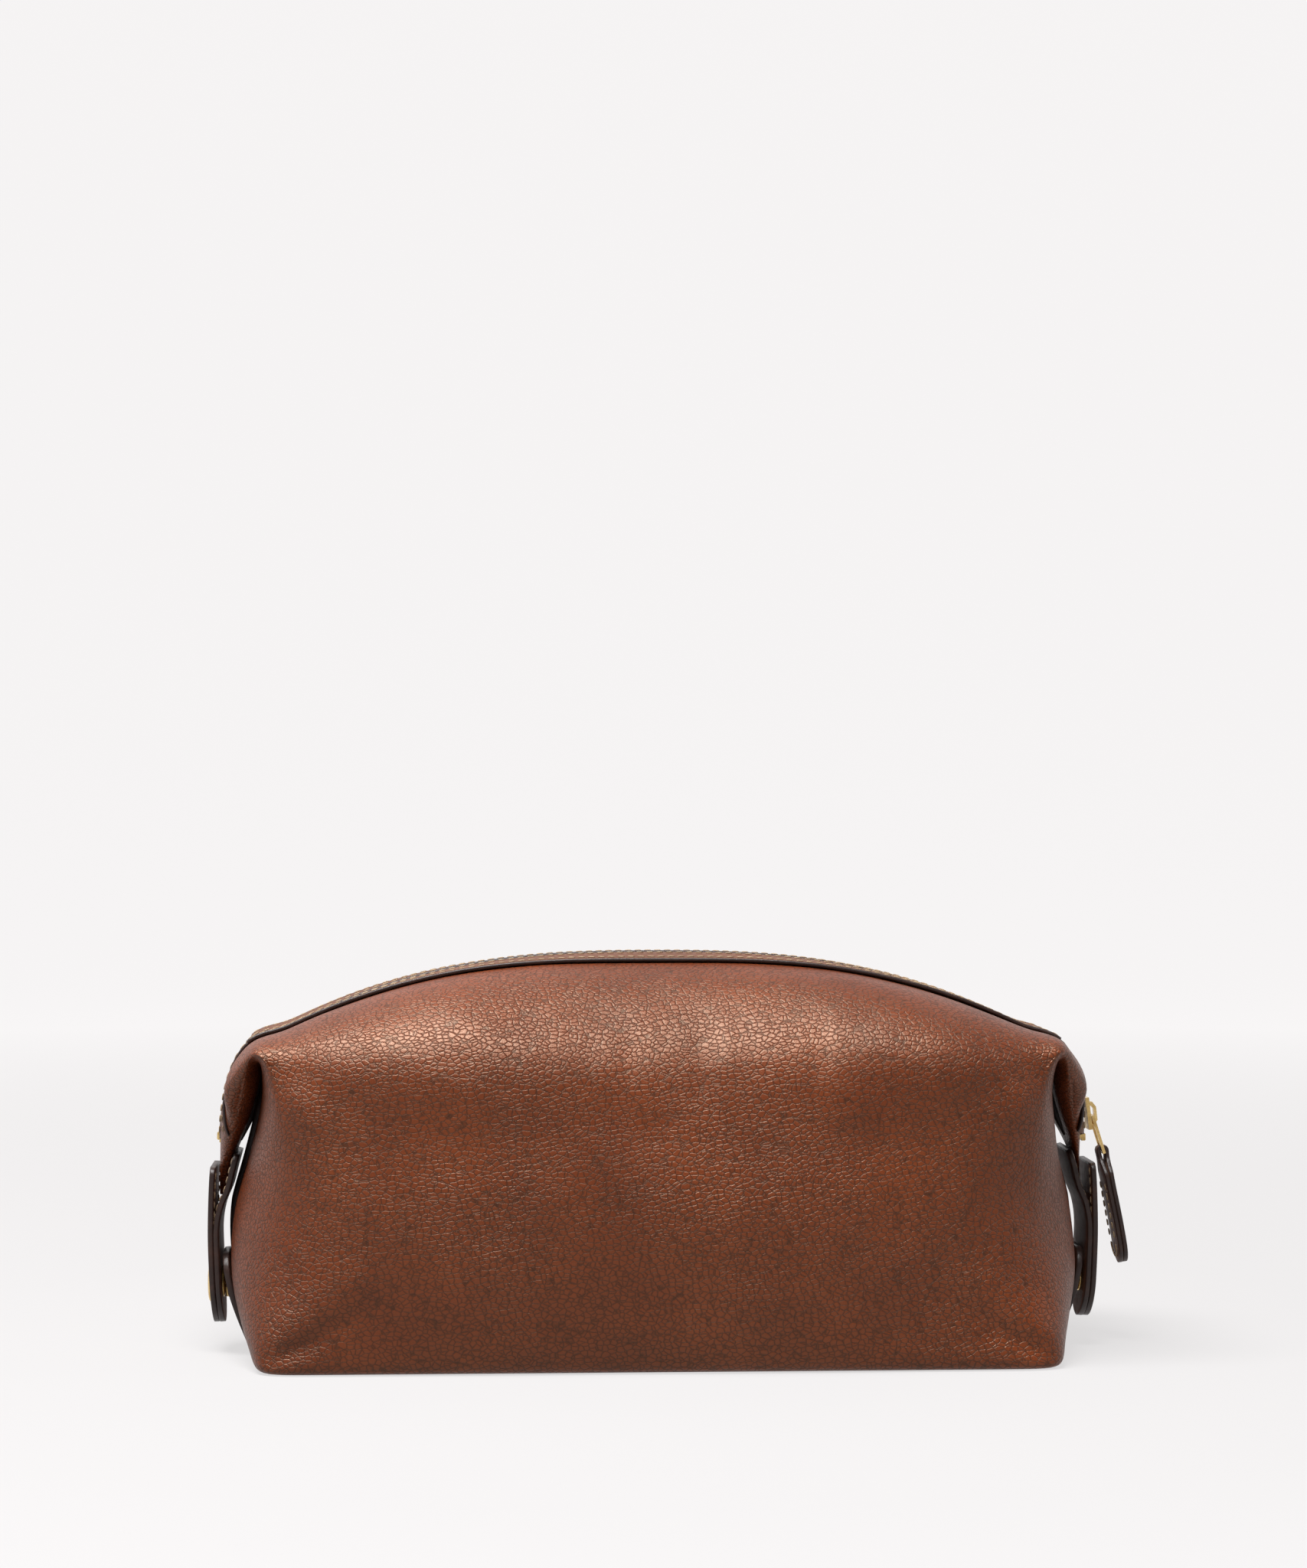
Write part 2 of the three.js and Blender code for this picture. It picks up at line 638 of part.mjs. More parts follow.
// ---------------------------------------------------------------- snaps
function addSnap(word, end) {
  const strapX = STRAP_X - 0.55;
  const outside = STRAP_LAYER + STRAP_GAP / 2 + 0.35;
  const cap = turned(strapX + outside, SNAP_HEIGHT, [
    [0, CAP_RADIUS],
    [CAP_HEIGHT * 0.35, CAP_RADIUS],
    [CAP_HEIGHT * 0.8, CAP_RADIUS * 0.75],
    [CAP_HEIGHT, CAP_RADIUS * 0.4],
  ]);
  add(word + "_snap_cap", cap, BRASS_FINISH, end);
  const tabFace = hide(0, 11.07)[0] + TAB_THICK + TAB_STAND_OFF;
  const socketFace = strapX - outside;
  const room = socketFace - tabFace;
  const socketDepth = room * 0.42;
  const socket = turned(socketFace - socketDepth, SNAP_HEIGHT, [
    [0, SOCKET_RADIUS - 0.4],
    [socketDepth, SOCKET_RADIUS],
  ]);
  add(word + "_snap_socket", socket, BRASS_FINISH, end);
  const stud = turned(tabFace, SNAP_HEIGHT, [
    [0, SOCKET_RADIUS],
    [room * 0.4, STUD_HEAD_RADIUS],
  ]);
  add(word + "_snap_stud", stud, BRASS_FINISH, end);
}
addSnap("left", -1);
addSnap("right", 1);

// ---------------------------------------------------------------- zip stops, slider and pull
// Place on the zip's line and the outward lean of the hide there.
function zipFrame(u) {
  const [point, normal] = [hide(u, 0), hideNormal(u, 0)];
  return { x: point[0], z: point[2], lean: Math.atan2(normal.z, normal.x), normal };
}

// Small block across the zip, between two heights above the hide.
function zipBlock(u, length, width, low, high) {
  const frame = zipFrame(u);
  const half = length / 2;
  const shape = polygon([[low, -half], [high, -half], [high, half], [low, half]]);
  return placed(extrudedAcrossY(shape, width), frame.x, frame.z, frame.lean);
}

const STOP_LENGTH = 2.2;
const STOP_WIDTH = 5.6;
const STOP_LOW = 2.75;
const STOP_HIGH = 3.6;
const LEFT_STOP_U = 1.5;
const RIGHT_STOP_U = 1.38;
const stopAt = (u) => zipBlock(u, STOP_LENGTH, STOP_WIDTH, STOP_LOW, STOP_HIGH);
add("left_zip_stop", stopAt(LEFT_STOP_U), BRASS_FINISH, -1);
add("right_zip_stop", stopAt(RIGHT_STOP_U), BRASS_FINISH);

const slider = zipFrame(SLIDER_U);
const SLIDER_HALF = SLIDER_LENGTH / 2;
const BRIDGE_LOW = SLIDER_LIFT + PLATE;
const BRIDGE_HIGH = BRIDGE_LOW + 2.2;

function sliderBody() {
  const plate = polygon([
    [SLIDER_LIFT, -SLIDER_HALF],
    [BRIDGE_LOW, -SLIDER_HALF],
    [BRIDGE_LOW, SLIDER_HALF],
    [SLIDER_LIFT, SLIDER_HALF],
  ]);
  const bridge = polygon([
    [BRIDGE_LOW - 0.2, -3.6],
    [BRIDGE_LOW + 1.2, -3.6],
    [BRIDGE_HIGH, -2.4],
    [BRIDGE_HIGH, 1.6],
    [BRIDGE_LOW + 1.2, 3.2],
    [BRIDGE_LOW - 0.2, 3.2],
    [BRIDGE_LOW - 0.2, 2.1],
    [BRIDGE_LOW + 0.7, 2.1],
    [BRIDGE_HIGH - 0.8, 1],
    [BRIDGE_HIGH - 0.8, -2],
    [BRIDGE_LOW + 0.7, -2.6],
    [BRIDGE_LOW - 0.2, -2.6],
  ]);
  const joined = union(extrudedAcrossY(plate, SLIDER_WIDTH), extrudedAcrossY(bridge, BRIDGE_WIDTH));
  return placed(joined, slider.x, slider.z, slider.lean);
}
add("slider_body", sliderBody(), BRASS_FINISH);

// Brass link: a flat ring through the slider's bridge, hanging down and a little outwards.
const LINK_HALF_WIDTH = 3.1;
const LINK_BAR = 0.9;
const LINK_LEAN = 0.3;
const linkTop = {
  x: slider.x + Math.cos(slider.lean) * (BRIDGE_LOW + 0.7) + Math.sin(slider.lean) * 1.2,
  z: slider.z + Math.sin(slider.lean) * (BRIDGE_LOW + 0.7) - Math.cos(slider.lean) * 1.2,
};

// Flat rectangular ring with its upper bar at the origin.
function ringPlate(halfWidth, length, bar) {
  const outline = polygon([
    [-halfWidth, bar / 2],
    [-halfWidth, -length + bar / 2],
    [halfWidth, -length + bar / 2],
    [halfWidth, bar / 2],
  ]);
  const inner = [
    [-halfWidth + bar, -bar / 2],
    [halfWidth - bar, -bar / 2],
    [halfWidth - bar, -length + bar * 1.5],
    [-halfWidth + bar, -length + bar * 1.5],
  ];
  outline.holes.push(new THREE.Path(inner.map(([x, y]) => new THREE.Vector2(x, y))));
  const geometry = new THREE.ExtrudeGeometry(outline, { depth: bar, bevelEnabled: false });
  geometry.translate(0, 0, -bar / 2);
  geometry.rotateX(Math.PI / 2);
  geometry.rotateZ(Math.PI / 2);
  return geometry;
}
const link = ringPlate(LINK_HALF_WIDTH, LINK_LENGTH, LINK_BAR);
add("pull_link", placed(link, linkTop.x, linkTop.z, LINK_LEAN), BRASS_FINISH);

// Leather pull: one strip folded round the link's lower bar and sewn to itself.
const PULL_LEAN = 0.18;
const eye = {
  x: linkTop.x + Math.sin(LINK_LEAN) * (LINK_LENGTH - LINK_BAR),
  z: linkTop.z - Math.cos(LINK_LEAN) * (LINK_LENGTH - LINK_BAR),
};

function leatherPull() {
  const half = PULL_THICK / 2;
  const eyeRadius = 0.85;
  const shape = new THREE.Shape();
  shape.moveTo(-half, 0);
  shape.absarc(0, 0, half, Math.PI, 0, true);
  shape.lineTo(half, -PULL_LENGTH);
  shape.lineTo(-half, -PULL_LENGTH);
  shape.closePath();
  const hole = new THREE.Path();
  hole.absarc(0, 0, eyeRadius, 0, Math.PI * 2, false);
  shape.holes.push(hole);
  const strip = extrudedAcrossY(shape, LINK_HALF_WIDTH * 2 - LINK_BAR * 2 - 0.5);
  const wideHalf = PULL_WIDTH / 2;
  const outline = new THREE.Shape();
  outline.moveTo(-wideHalf, -4);
  outline.lineTo(-wideHalf, -PULL_LENGTH + wideHalf);
  outline.absarc(0, -PULL_LENGTH + wideHalf, wideHalf, Math.PI, 2 * Math.PI, false);
  outline.lineTo(wideHalf, -4);
  outline.closePath();
  const blade = new THREE.ExtrudeGeometry(outline, {
    depth: PULL_THICK,
    bevelEnabled: false,
    curveSegments: 8,
  });
  blade.translate(0, 0, -half);
  blade.rotateX(Math.PI / 2);
  blade.rotateZ(Math.PI / 2);
  const trimmed = polygon([[-half, -3], [half, -3], [half, -PULL_LENGTH + 12], [-half, -PULL_LENGTH + 12]]);
  const neck = extrudedAcrossY(trimmed, 4);
  const lower = toManifold(strip).subtract(toManifold(boxBelow())).getMesh();
  return placed(union(meshGeometry(lower), neck, blade), eye.x, eye.z, PULL_LEAN);
}

// Block that trims the folded strip where the wide blade takes over.
function boxBelow() {
  return extrudedAcrossY(polygon([[-5, -6], [5, -6], [5, -60], [-5, -60]].reverse()), 40);
}

function meshGeometry(mesh) {
  const geometry = new THREE.BufferGeometry();
  const points = new THREE.Float32BufferAttribute(Array.from(mesh.vertProperties), 3);
  geometry.setAttribute("position", points);
  geometry.setIndex(Array.from(mesh.triVerts));
  return geometry;
}
add("leather_pull", leatherPull(), STRAP_FINISH);

export default group;
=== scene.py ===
import math

import bpy
import numpy as np
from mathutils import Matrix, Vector


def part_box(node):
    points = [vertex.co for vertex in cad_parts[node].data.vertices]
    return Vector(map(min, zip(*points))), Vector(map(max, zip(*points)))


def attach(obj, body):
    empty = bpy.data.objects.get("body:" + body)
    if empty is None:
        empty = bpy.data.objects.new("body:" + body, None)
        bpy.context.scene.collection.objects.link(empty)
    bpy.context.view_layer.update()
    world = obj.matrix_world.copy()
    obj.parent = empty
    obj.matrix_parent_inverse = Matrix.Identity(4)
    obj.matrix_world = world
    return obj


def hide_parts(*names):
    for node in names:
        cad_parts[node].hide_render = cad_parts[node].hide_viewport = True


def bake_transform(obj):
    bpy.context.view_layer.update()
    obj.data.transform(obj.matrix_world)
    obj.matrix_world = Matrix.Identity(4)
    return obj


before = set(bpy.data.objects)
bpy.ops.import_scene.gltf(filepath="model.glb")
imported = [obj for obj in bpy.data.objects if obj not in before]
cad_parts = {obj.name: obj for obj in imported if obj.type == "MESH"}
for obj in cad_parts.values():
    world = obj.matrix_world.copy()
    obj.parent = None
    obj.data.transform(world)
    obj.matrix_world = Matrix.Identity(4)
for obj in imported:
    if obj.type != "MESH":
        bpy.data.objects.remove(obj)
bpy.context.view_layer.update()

# Looks of the leather shaving kit bag. Lengths below are in millimetres unless a name ends in _M.
MM = 0.001

# ---- driving dimensions of the soft form
BASE_HALF_DEPTH = 53.0
BASE_HALF_LENGTH = 114.0
BELLY_BULGE_END = 10.0
BELLY_HALF_DEPTH = 57.5
BELLY_HEIGHT = 43.0
SECTION_SQUARENESS = 2.35
END_SQUARENESS = 4.5
ROOF_LIFT = 3.5
CORNER_RADIUS = 5
CORNER_SWELL = 36
ZIP_HEIGHT = 117.6
SHOULDER_HEIGHT = 91.5
SHOULDER_HALF = 114.0
ROOF_BOW = 2.6
EAR_LENGTH = 46.0
EAR_TIP_X = 130.0
EAR_TIP_Z = 46.0
EAR_PUFF = 5.2
EAR_TIP_HALF = 1.9
EAR_TIP_REACH = 14
EAR_WIDEN = 1.05
CREASE_WIDEN = 1.03
END_SEAM = 150.0
ZIP_HALF_PATH = BASE_HALF_DEPTH + BASE_HALF_LENGTH
STEP = EAR_LENGTH / 4
LEATHER = 1.6
SLOT_HALF = 8.0
STRIP_INNER = 4.5
STRIP_OUTER = 15.5
LOBE_PUFF = 2.6
TAPE_INNER = 2.9
TAPE_OUTER = 12.5
STITCH_PITCH = 2.9
TOOTH_PITCH = 2.4

COLUMNS = [k * STEP for k in range(5)]
COLUMNS += [BASE_HALF_DEPTH, 62, 74, 88, 104, 120, 136, 152, ZIP_HALF_PATH]
ROWS = [k * STEP for k in range(12)] + [138, 144.5, END_SEAM]
INSETS = [6, 14, 26, 40]
LAST_COLUMN = len(COLUMNS) - 1
BASE_V = 16.0
FOLD = 4  # net row and column of the fold between an ear and the body


# ---- the bag's form, as in the CAD part
def lerp(p, q, t):
    return p + (q - p) * t


def clamp01(t):
    return min(1.0, max(0.0, t))


def smooth(p, q, v):
    t = clamp01((v - p) / (q - p))
    return t * t * (3 - 2 * t)


def along(line, distance, total):
    """Point at a share of a polyline's length."""
    line = np.array(line, float)
    lengths = np.concatenate([[0], np.cumsum(np.linalg.norm(np.diff(line, axis=0), axis=1))])
    target = clamp01(distance / total) * lengths[-1]
    return [float(np.interp(target, lengths, line[:, c])) for c in range(2)]


def zip_height(x):
    drop = ZIP_HEIGHT - SHOULDER_HEIGHT
    return ZIP_HEIGHT - drop * (abs(x) / SHOULDER_HALF) ** ROOF_BOW


def roof_line():
    line = []
    for k in range(61):
        x = (SHOULDER_HALF + 4) * (1 - k / 60)
        line.append([x, zip_height(min(x, SHOULDER_HALF))])
    return line


ROOF_LINE = roof_line()


def section(a):
    """Cross section from the zip down to the base edge: [y, z] points."""
    to_middle = clamp01((a - EAR_LENGTH) / (ZIP_HALF_PATH - EAR_LENGTH))
    squareness = SECTION_SQUARENESS + END_SQUARENESS * (1 - to_middle) ** 2
    top = along(ROOF_LINE, a - EAR_LENGTH, ZIP_HALF_PATH - EAR_LENGTH)[1]
    lift = ROOF_LIFT * (1 - to_middle) ** 3
    depth = lerp(BASE_HALF_DEPTH - 1.5, BELLY_HALF_DEPTH, smooth(0, 0.7, to_middle))
    line = []
    for k in range(41):
        angle = (math.pi / 2) * (k / 40)
        y = depth * math.sin(angle) ** (2 / squareness)
        z = BELLY_HEIGHT + (top - BELLY_HEIGHT) * max(0.0, math.cos(angle)) ** (2 / squareness)
        line.append([-y, z + lift * math.sin(math.pi * clamp01(y / depth)) * clamp01(z - BELLY_HEIGHT)])
    for k in range(1, 9):
        t = k / 8
        line.append([-lerp(depth, BASE_HALF_DEPTH, t * t), BELLY_HEIGHT * (1 - t)])
    return line


def outline_point(a, half_depth, t):
    """Point of the bag's outline from above, at a share t of the way down its end face."""
    waist = max(0.0, math.sin(math.pi * t ** 1.6)) ** 1.3
    half_length = SHOULDER_HALF + 0.5 + 2.5 * t + BELLY_BULGE_END * waist
    radius = CORNER_RADIUS + CORNER_SWELL * max(0.0, math.sin(math.pi * t ** 1.15)) ** 1.1
    line = [[half_length, 0]]
    for k in range(13):
        angle = (math.pi / 2) * (k / 12)
        x = half_length - radius + radius * math.cos(angle)
        line.append([x, -(half_depth - radius) - radius * math.sin(angle)])
    line.append([0, -half_depth])
    return along(line, a, ZIP_HALF_PATH)


def ear_point(a, b):
    from_tip = max(a, b)
    lateral = min(a, b)
    share = from_tip / EAR_LENGTH
    tip_reach = EAR_TIP_REACH if from_tip == 0 else 0
    x = lerp(EAR_TIP_X, SHOULDER_HALF + 4.5, share)
    z = lerp(EAR_TIP_Z - tip_reach, SHOULDER_HEIGHT + 1, share)
    lobe = smooth(0, 0.6, lateral / from_tip) if from_tip > 0 else 0
    side = float(np.sign(a - b))
    middle_share = 0.75 if side > 0 else 0.3
    puff = lerp(EAR_TIP_HALF, EAR_PUFF, smooth(0, 0.6, share)) * lerp(middle_share, 1, lobe)
    return [x + side * puff, -lateral * EAR_WIDEN, z + side * puff * 0.25]


def crease_point(a, b):
    if a == b:
        return [SHOULDER_HALF + 3.5, -EAR_LENGTH - 1, SHOULDER_HEIGHT + 0.5]
    if a > b:
        return [SHOULDER_HALF + 6.5, -b * CREASE_WIDEN, SHOULDER_HEIGHT + 1.5 + 2.5 * (b / EAR_LENGTH)]
    return [SHOULDER_HALF + 2.5, -a * CREASE_WIDEN, SHOULDER_HEIGHT]


def panel_point(a, b):
    down = clamp01((b - EAR_LENGTH) / (END_SEAM - EAR_LENGTH))
    y_section, z_section = along(section(max(a, EAR_LENGTH)), b, END_SEAM)
    x, y = outline_point(a, abs(y_section), down)
    z_end = (SHOULDER_HEIGHT - 2) * (1 - down)
    return [x, y, lerp(z_end, z_section, smooth(30, 75, a))]


def roof_point(a, b):
    x_zip = along(ROOF_LINE, a - EAR_LENGTH, ZIP_HALF_PATH - EAR_LENGTH)[0]
    y, z = along(section(a), b, END_SEAM)
    x_panel = outline_point(a, BASE_HALF_DEPTH, 0.1)[0]
    return [lerp(x_zip, x_panel, smooth(0, EAR_LENGTH, b)), y, z]


def hide_point(a, b):
    if max(a, b) < EAR_LENGTH:
        return ear_point(a, b)
    if max(a, b) == EAR_LENGTH:
        return crease_point(a, b)
    if b <= EAR_LENGTH:
        return roof_point(a, b)
    return panel_point(a, b)


def base_point(a, inset):
    x, y, _ = hide_point(a, END_SEAM)
    share = (BASE_HALF_DEPTH - inset) / BASE_HALF_DEPTH
    if a <= BASE_HALF_DEPTH:
        return [x - inset, y * share, 0]
    return [x * (1 - inset / (BASE_HALF_LENGTH + 2)), y * share, 0]


def build_net():
    """Control net with one mirrored row and column round it where the form is symmetric."""
    core = [[hide_point(a, b) for b in ROWS] + [base_point(a, i) for i in INSETS] for a in COLUMNS]
    core = np.array(core, float)
    flip_y = np.array([1, -1, 1.0])
    flip_x = np.array([-1, 1, 1.0])
    core = np.concatenate([core[:, 2:0:-1] * flip_y, core], axis=1)
    core = np.concatenate([core[2:0:-1] * flip_y, core, core[-2:-4:-1] * flip_x], axis=0)
    return core


NET = build_net()


def spline_weights(t):
    return np.stack([
        (1 - t) ** 3 / 6,
        (3 * t ** 3 - 6 * t ** 2 + 4) / 6,
        (-3 * t ** 3 + 3 * t ** 2 + 3 * t + 1) / 6,
        t ** 3 / 6,
    ])


def hide(u, v):
    """Points of the leather's plain outer face at net coordinates, on the +X, -Y quarter."""
    u, v = np.broadcast_arrays(np.asarray(u, float), np.asarray(v, float))
    i, j = np.floor(u).astype(int), np.floor(v).astype(int)
    wu, wv = spline_weights(u - i), spline_weights(v - j)
    total = np.zeros(u.shape + (3,))
    for p in range(4):
        for q in range(4):
            row = np.clip(i + 1 + p, 0, NET.shape[0] - 1)
            column = np.clip(j + 1 + q, 0, NET.shape[1] - 1)
            total += (wu[p] * wv[q])[..., None] * NET[row, column]
    return total


def cross_normal(function, u, v):
    h = 0.015
    du = function(u + h, v) - function(u - h, v)
    dv = function(u, v + h) - function(u, v - h)
    n = np.cross(du, dv)
    return n / np.maximum(np.linalg.norm(n, axis=-1, keepdims=True), 1e-9)


def hide_frame(u, v):
    return hide(u, v), cross_normal(hide, u, v)


# ---- slack and creases of the real leather
def wave_sum(p, length, seed):
    """Smooth undulation between about -1 and 1, from a few crossed waves."""
    rng = np.random.default_rng(seed)
    total = np.zeros(p.shape[:-1])
    for _ in range(6):
        direction = rng.normal(size=3)
        direction /= np.linalg.norm(direction)
        turn = rng.uniform(0.7, 1.4) * 2 * math.pi / length
        total += np.sin(p @ direction * turn + rng.uniform(0, 2 * math.pi))
    return total / 3


def line_crease(p, start, end, width):
    """Share by which points lie on a line from start to end, fading along it and beside it."""
    start, end = np.array(start, float), np.array(end, float)
    d = end - start
    t = ((p - start) @ d) / (d @ d)
    nearest = start + np.clip(t, 0, 1)[..., None] * d
    away = np.linalg.norm(p - nearest, axis=-1)
    fade = np.clip(1.15 - np.clip(t, 0, 1), 0, 1)
    return np.exp(-(away / width) ** 2) * fade


# Creases of the corners on the +X, +Y side: height, start, end and width of each.
CORNER_CREASES = [
    (-1.5, (112, 53, 3), (80, 56, 22), 3.4),
    (0.9, (112, 54, 12), (84, 57, 32), 6),
    (-1.7, (113, 46, 88), (82, 54, 74), 7),
    (-0.8, (113, 46, 88), (106, 50, 62), 3.5),
]
# Upright ridges of the front and back panels: place along X and depth of each.
PANEL_RIDGES = [(4, 0.5), (11, -0.45), (-17, 0.3), (38, 0.35)]


def place(points, sx, sy):
    return points * np.array([sx, sy, 1.0])


def slack(p):
    """Displacement of the leather along its normal."""
    flat = np.clip(p[..., 2] / 9, 0, 1)
    d = 0.6 * wave_sum(p, 70, 3) + 0.14 * wave_sum(p, 23, 8)
    for sx in (-1, 1):
        for sy in (-1, 1):
            for height, start, end, width in CORNER_CREASES:
                d += height * line_crease(p, place(start, sx, sy), place(end, sx, sy), width)
    panel = np.clip((np.abs(p[..., 1]) - 40) / 10, 0, 1) * np.clip((112 - np.abs(p[..., 0])) / 30, 0, 1)
    d -= 1.5 * panel * np.exp(-((p[..., 2] - 68) / 14) ** 2)
    d += 0.8 * panel * np.exp(-((p[..., 2] - 92) / 12) ** 2)
    for x, depth in PANEL_RIDGES:
        ridge = np.exp(-((p[..., 0] - x - 0.08 * p[..., 2]) / 3.2) ** 2)
        d -= depth * panel * ridge * np.clip((p[..., 2] - 70) / 20, 0, 1)
    zip_calm = np.clip((np.abs(p[..., 1]) - 12) / 16, 0, 1)
    on_top = p[..., 2] > 88
    return d * flat * np.where(on_top, zip_calm, 1)


def ease(low, high, value):
    t = np.clip((value - low) / (high - low), 0, 1)
    return t * t * (3 - 2 * t)


def lobe_puff(u, v):
    """Extra fullness of an ear's outer face on either side of its zip strips."""
    beside = ease(STRIP_OUTER / STEP, STRIP_OUTER / STEP + 0.75, v) * ease(0.0, 0.7, u - v)
    return LOBE_PUFF * beside * ease(0.9, 2.0, u) * ease(4.0, 2.6, u)


def leather_surface(u, v, sx, sy):
    """Displaced leather points on one quarter."""
    p, n = hide_frame(u, v)
    lift = slack(place(p, sx, sy)) + lobe_puff(u, v)
    return place(p + n * lift[..., None], sx, sy)


# ---- mesh helpers
def make_object(name, points, faces, materials, face_slots=None, normals=None, smooth_faces=True):
    mesh = bpy.data.meshes.new(name)
    mesh.from_pydata((np.asarray(points) * MM).tolist(), [], [list(map(int, f)) for f in faces])
    for material in materials:
        mesh.materials.append(material)
    if face_slots is not None:
        mesh.polygons.foreach_set("material_index", list(face_slots))
    mesh.polygons.foreach_set("use_smooth", [smooth_faces] * len(mesh.polygons))
    mesh.update()
    if normals is not None:
        mesh.normals_split_custom_set_from_vertices(np.asarray(normals).tolist())
    made = bpy.data.objects.new(name, mesh)
    bpy.context.scene.collection.objects.link(made)
    return made


class Surface:
    """Gathers grids of points into one mesh, sharing points that coincide."""

    def __init__(self):
        self.points, self.normals, self.faces = [], [], []
        self.count = 0

    def grid(self, points, normals, flip):
        rows, columns = points.shape[:2]
        ids = self.count + np.arange(rows * columns).reshape(rows, columns)
        quads = np.stack([ids[:-1, :-1], ids[1:, :-1], ids[1:, 1:], ids[:-1, 1:]], -1).reshape(-1, 4)
        if flip:
            quads = quads[:, ::-1]
        self.points.append(points.reshape(-1, 3))
        self.normals.append(normals.reshape(-1, 3))
        self.faces.append(quads)
        self.count += rows * columns

    def build(self, name, materials, use_normals=True):
        points = np.concatenate(self.points)
        normals = np.concatenate(self.normals)
        faces = np.concatenate(self.faces)
        keys = np.round(points * 2000).astype(np.int64)
        _, first, inverse = np.unique(keys, axis=0, return_index=True, return_inverse=True)
        faces = inverse.reshape(-1)[faces]
        whole = [f for f in faces if len(set(f)) == 4]
        chosen = normals[first] if use_normals else None
        return make_object(name, points[first], whole, materials, normals=chosen)


def spaced(*parts):
    """Joined evenly spaced runs: (start, end, count) each."""
    values = [np.linspace(a, b, n + 1)[:-1] for a, b, n in parts]
    return np.concatenate(values + [[parts[-1][1]]])


# ---- materials
class Nodes:
    """Short way to build a node material."""

    def __init__(self, name):
        self.material = bpy.data.materials.new(name)
        self.material.use_nodes = True
        self.tree = self.material.node_tree
        self.shader = self.tree.nodes["Principled BSDF"]
        self.coords = self.add("ShaderNodeTexCoord").outputs["Object"]

    def add(self, kind, inputs=None, **settings):
        node = self.tree.nodes.new(kind)
        for key, value in settings.items():
            setattr(node, key, value)
        for key, value in (inputs or {}).items():
            if hasattr(value, "is_output"):
                self.tree.links.new(value, node.inputs[key])
            else:
                node.inputs[key].default_value = value
        return node

    def noise(self, scale, detail=3.0, rough=0.55, stretch=None):
        place_node = self.coords
        if stretch:
            place_node = self.add("ShaderNodeMapping", {"Vector": self.coords, "Scale": stretch}).outputs[0]
        made = self.add("ShaderNodeTexNoise", {"Vector": place_node, "Scale": scale, "Detail": detail,
                                               "Roughness": rough})
        return made.outputs["Fac"]

    def math(self, operation, a, b=0.0):
        return self.add("ShaderNodeMath", {0: a, 1: b}, operation=operation).outputs[0]

    def span(self, value, low, high, to_low=0.0, to_high=1.0):
        inputs = {"Value": value, "From Min": low, "From Max": high, "To Min": to_low, "To Max": to_high}
        return self.add("ShaderNodeMapRange", inputs).outputs["Result"]

    def mix(self, share, a, b, blend="MIX"):
        node = self.add("ShaderNodeMix", data_type="RGBA", blend_type=blend)
        for index, value in ((0, share), (6, a), (7, b)):
            if hasattr(value, "is_output"):
                self.tree.links.new(value, node.inputs[index])
            else:
                node.inputs[index].default_value = value
        return node.outputs[2]

    def bump(self, height, distance, strength=1.0, normal=None):
        inputs = {"Height": height, "Distance": distance, "Strength": strength}
        if normal is not None:
            inputs["Normal"] = normal
        return self.add("ShaderNodeBump", inputs).outputs["Normal"]

    def set(self, **values):
        for key, value in values.items():
            socket = self.shader.inputs[key.replace("_", " ")]
            if hasattr(value, "is_output"):
                self.tree.links.new(value, socket)
            else:
                socket.default_value = value
        return self.material


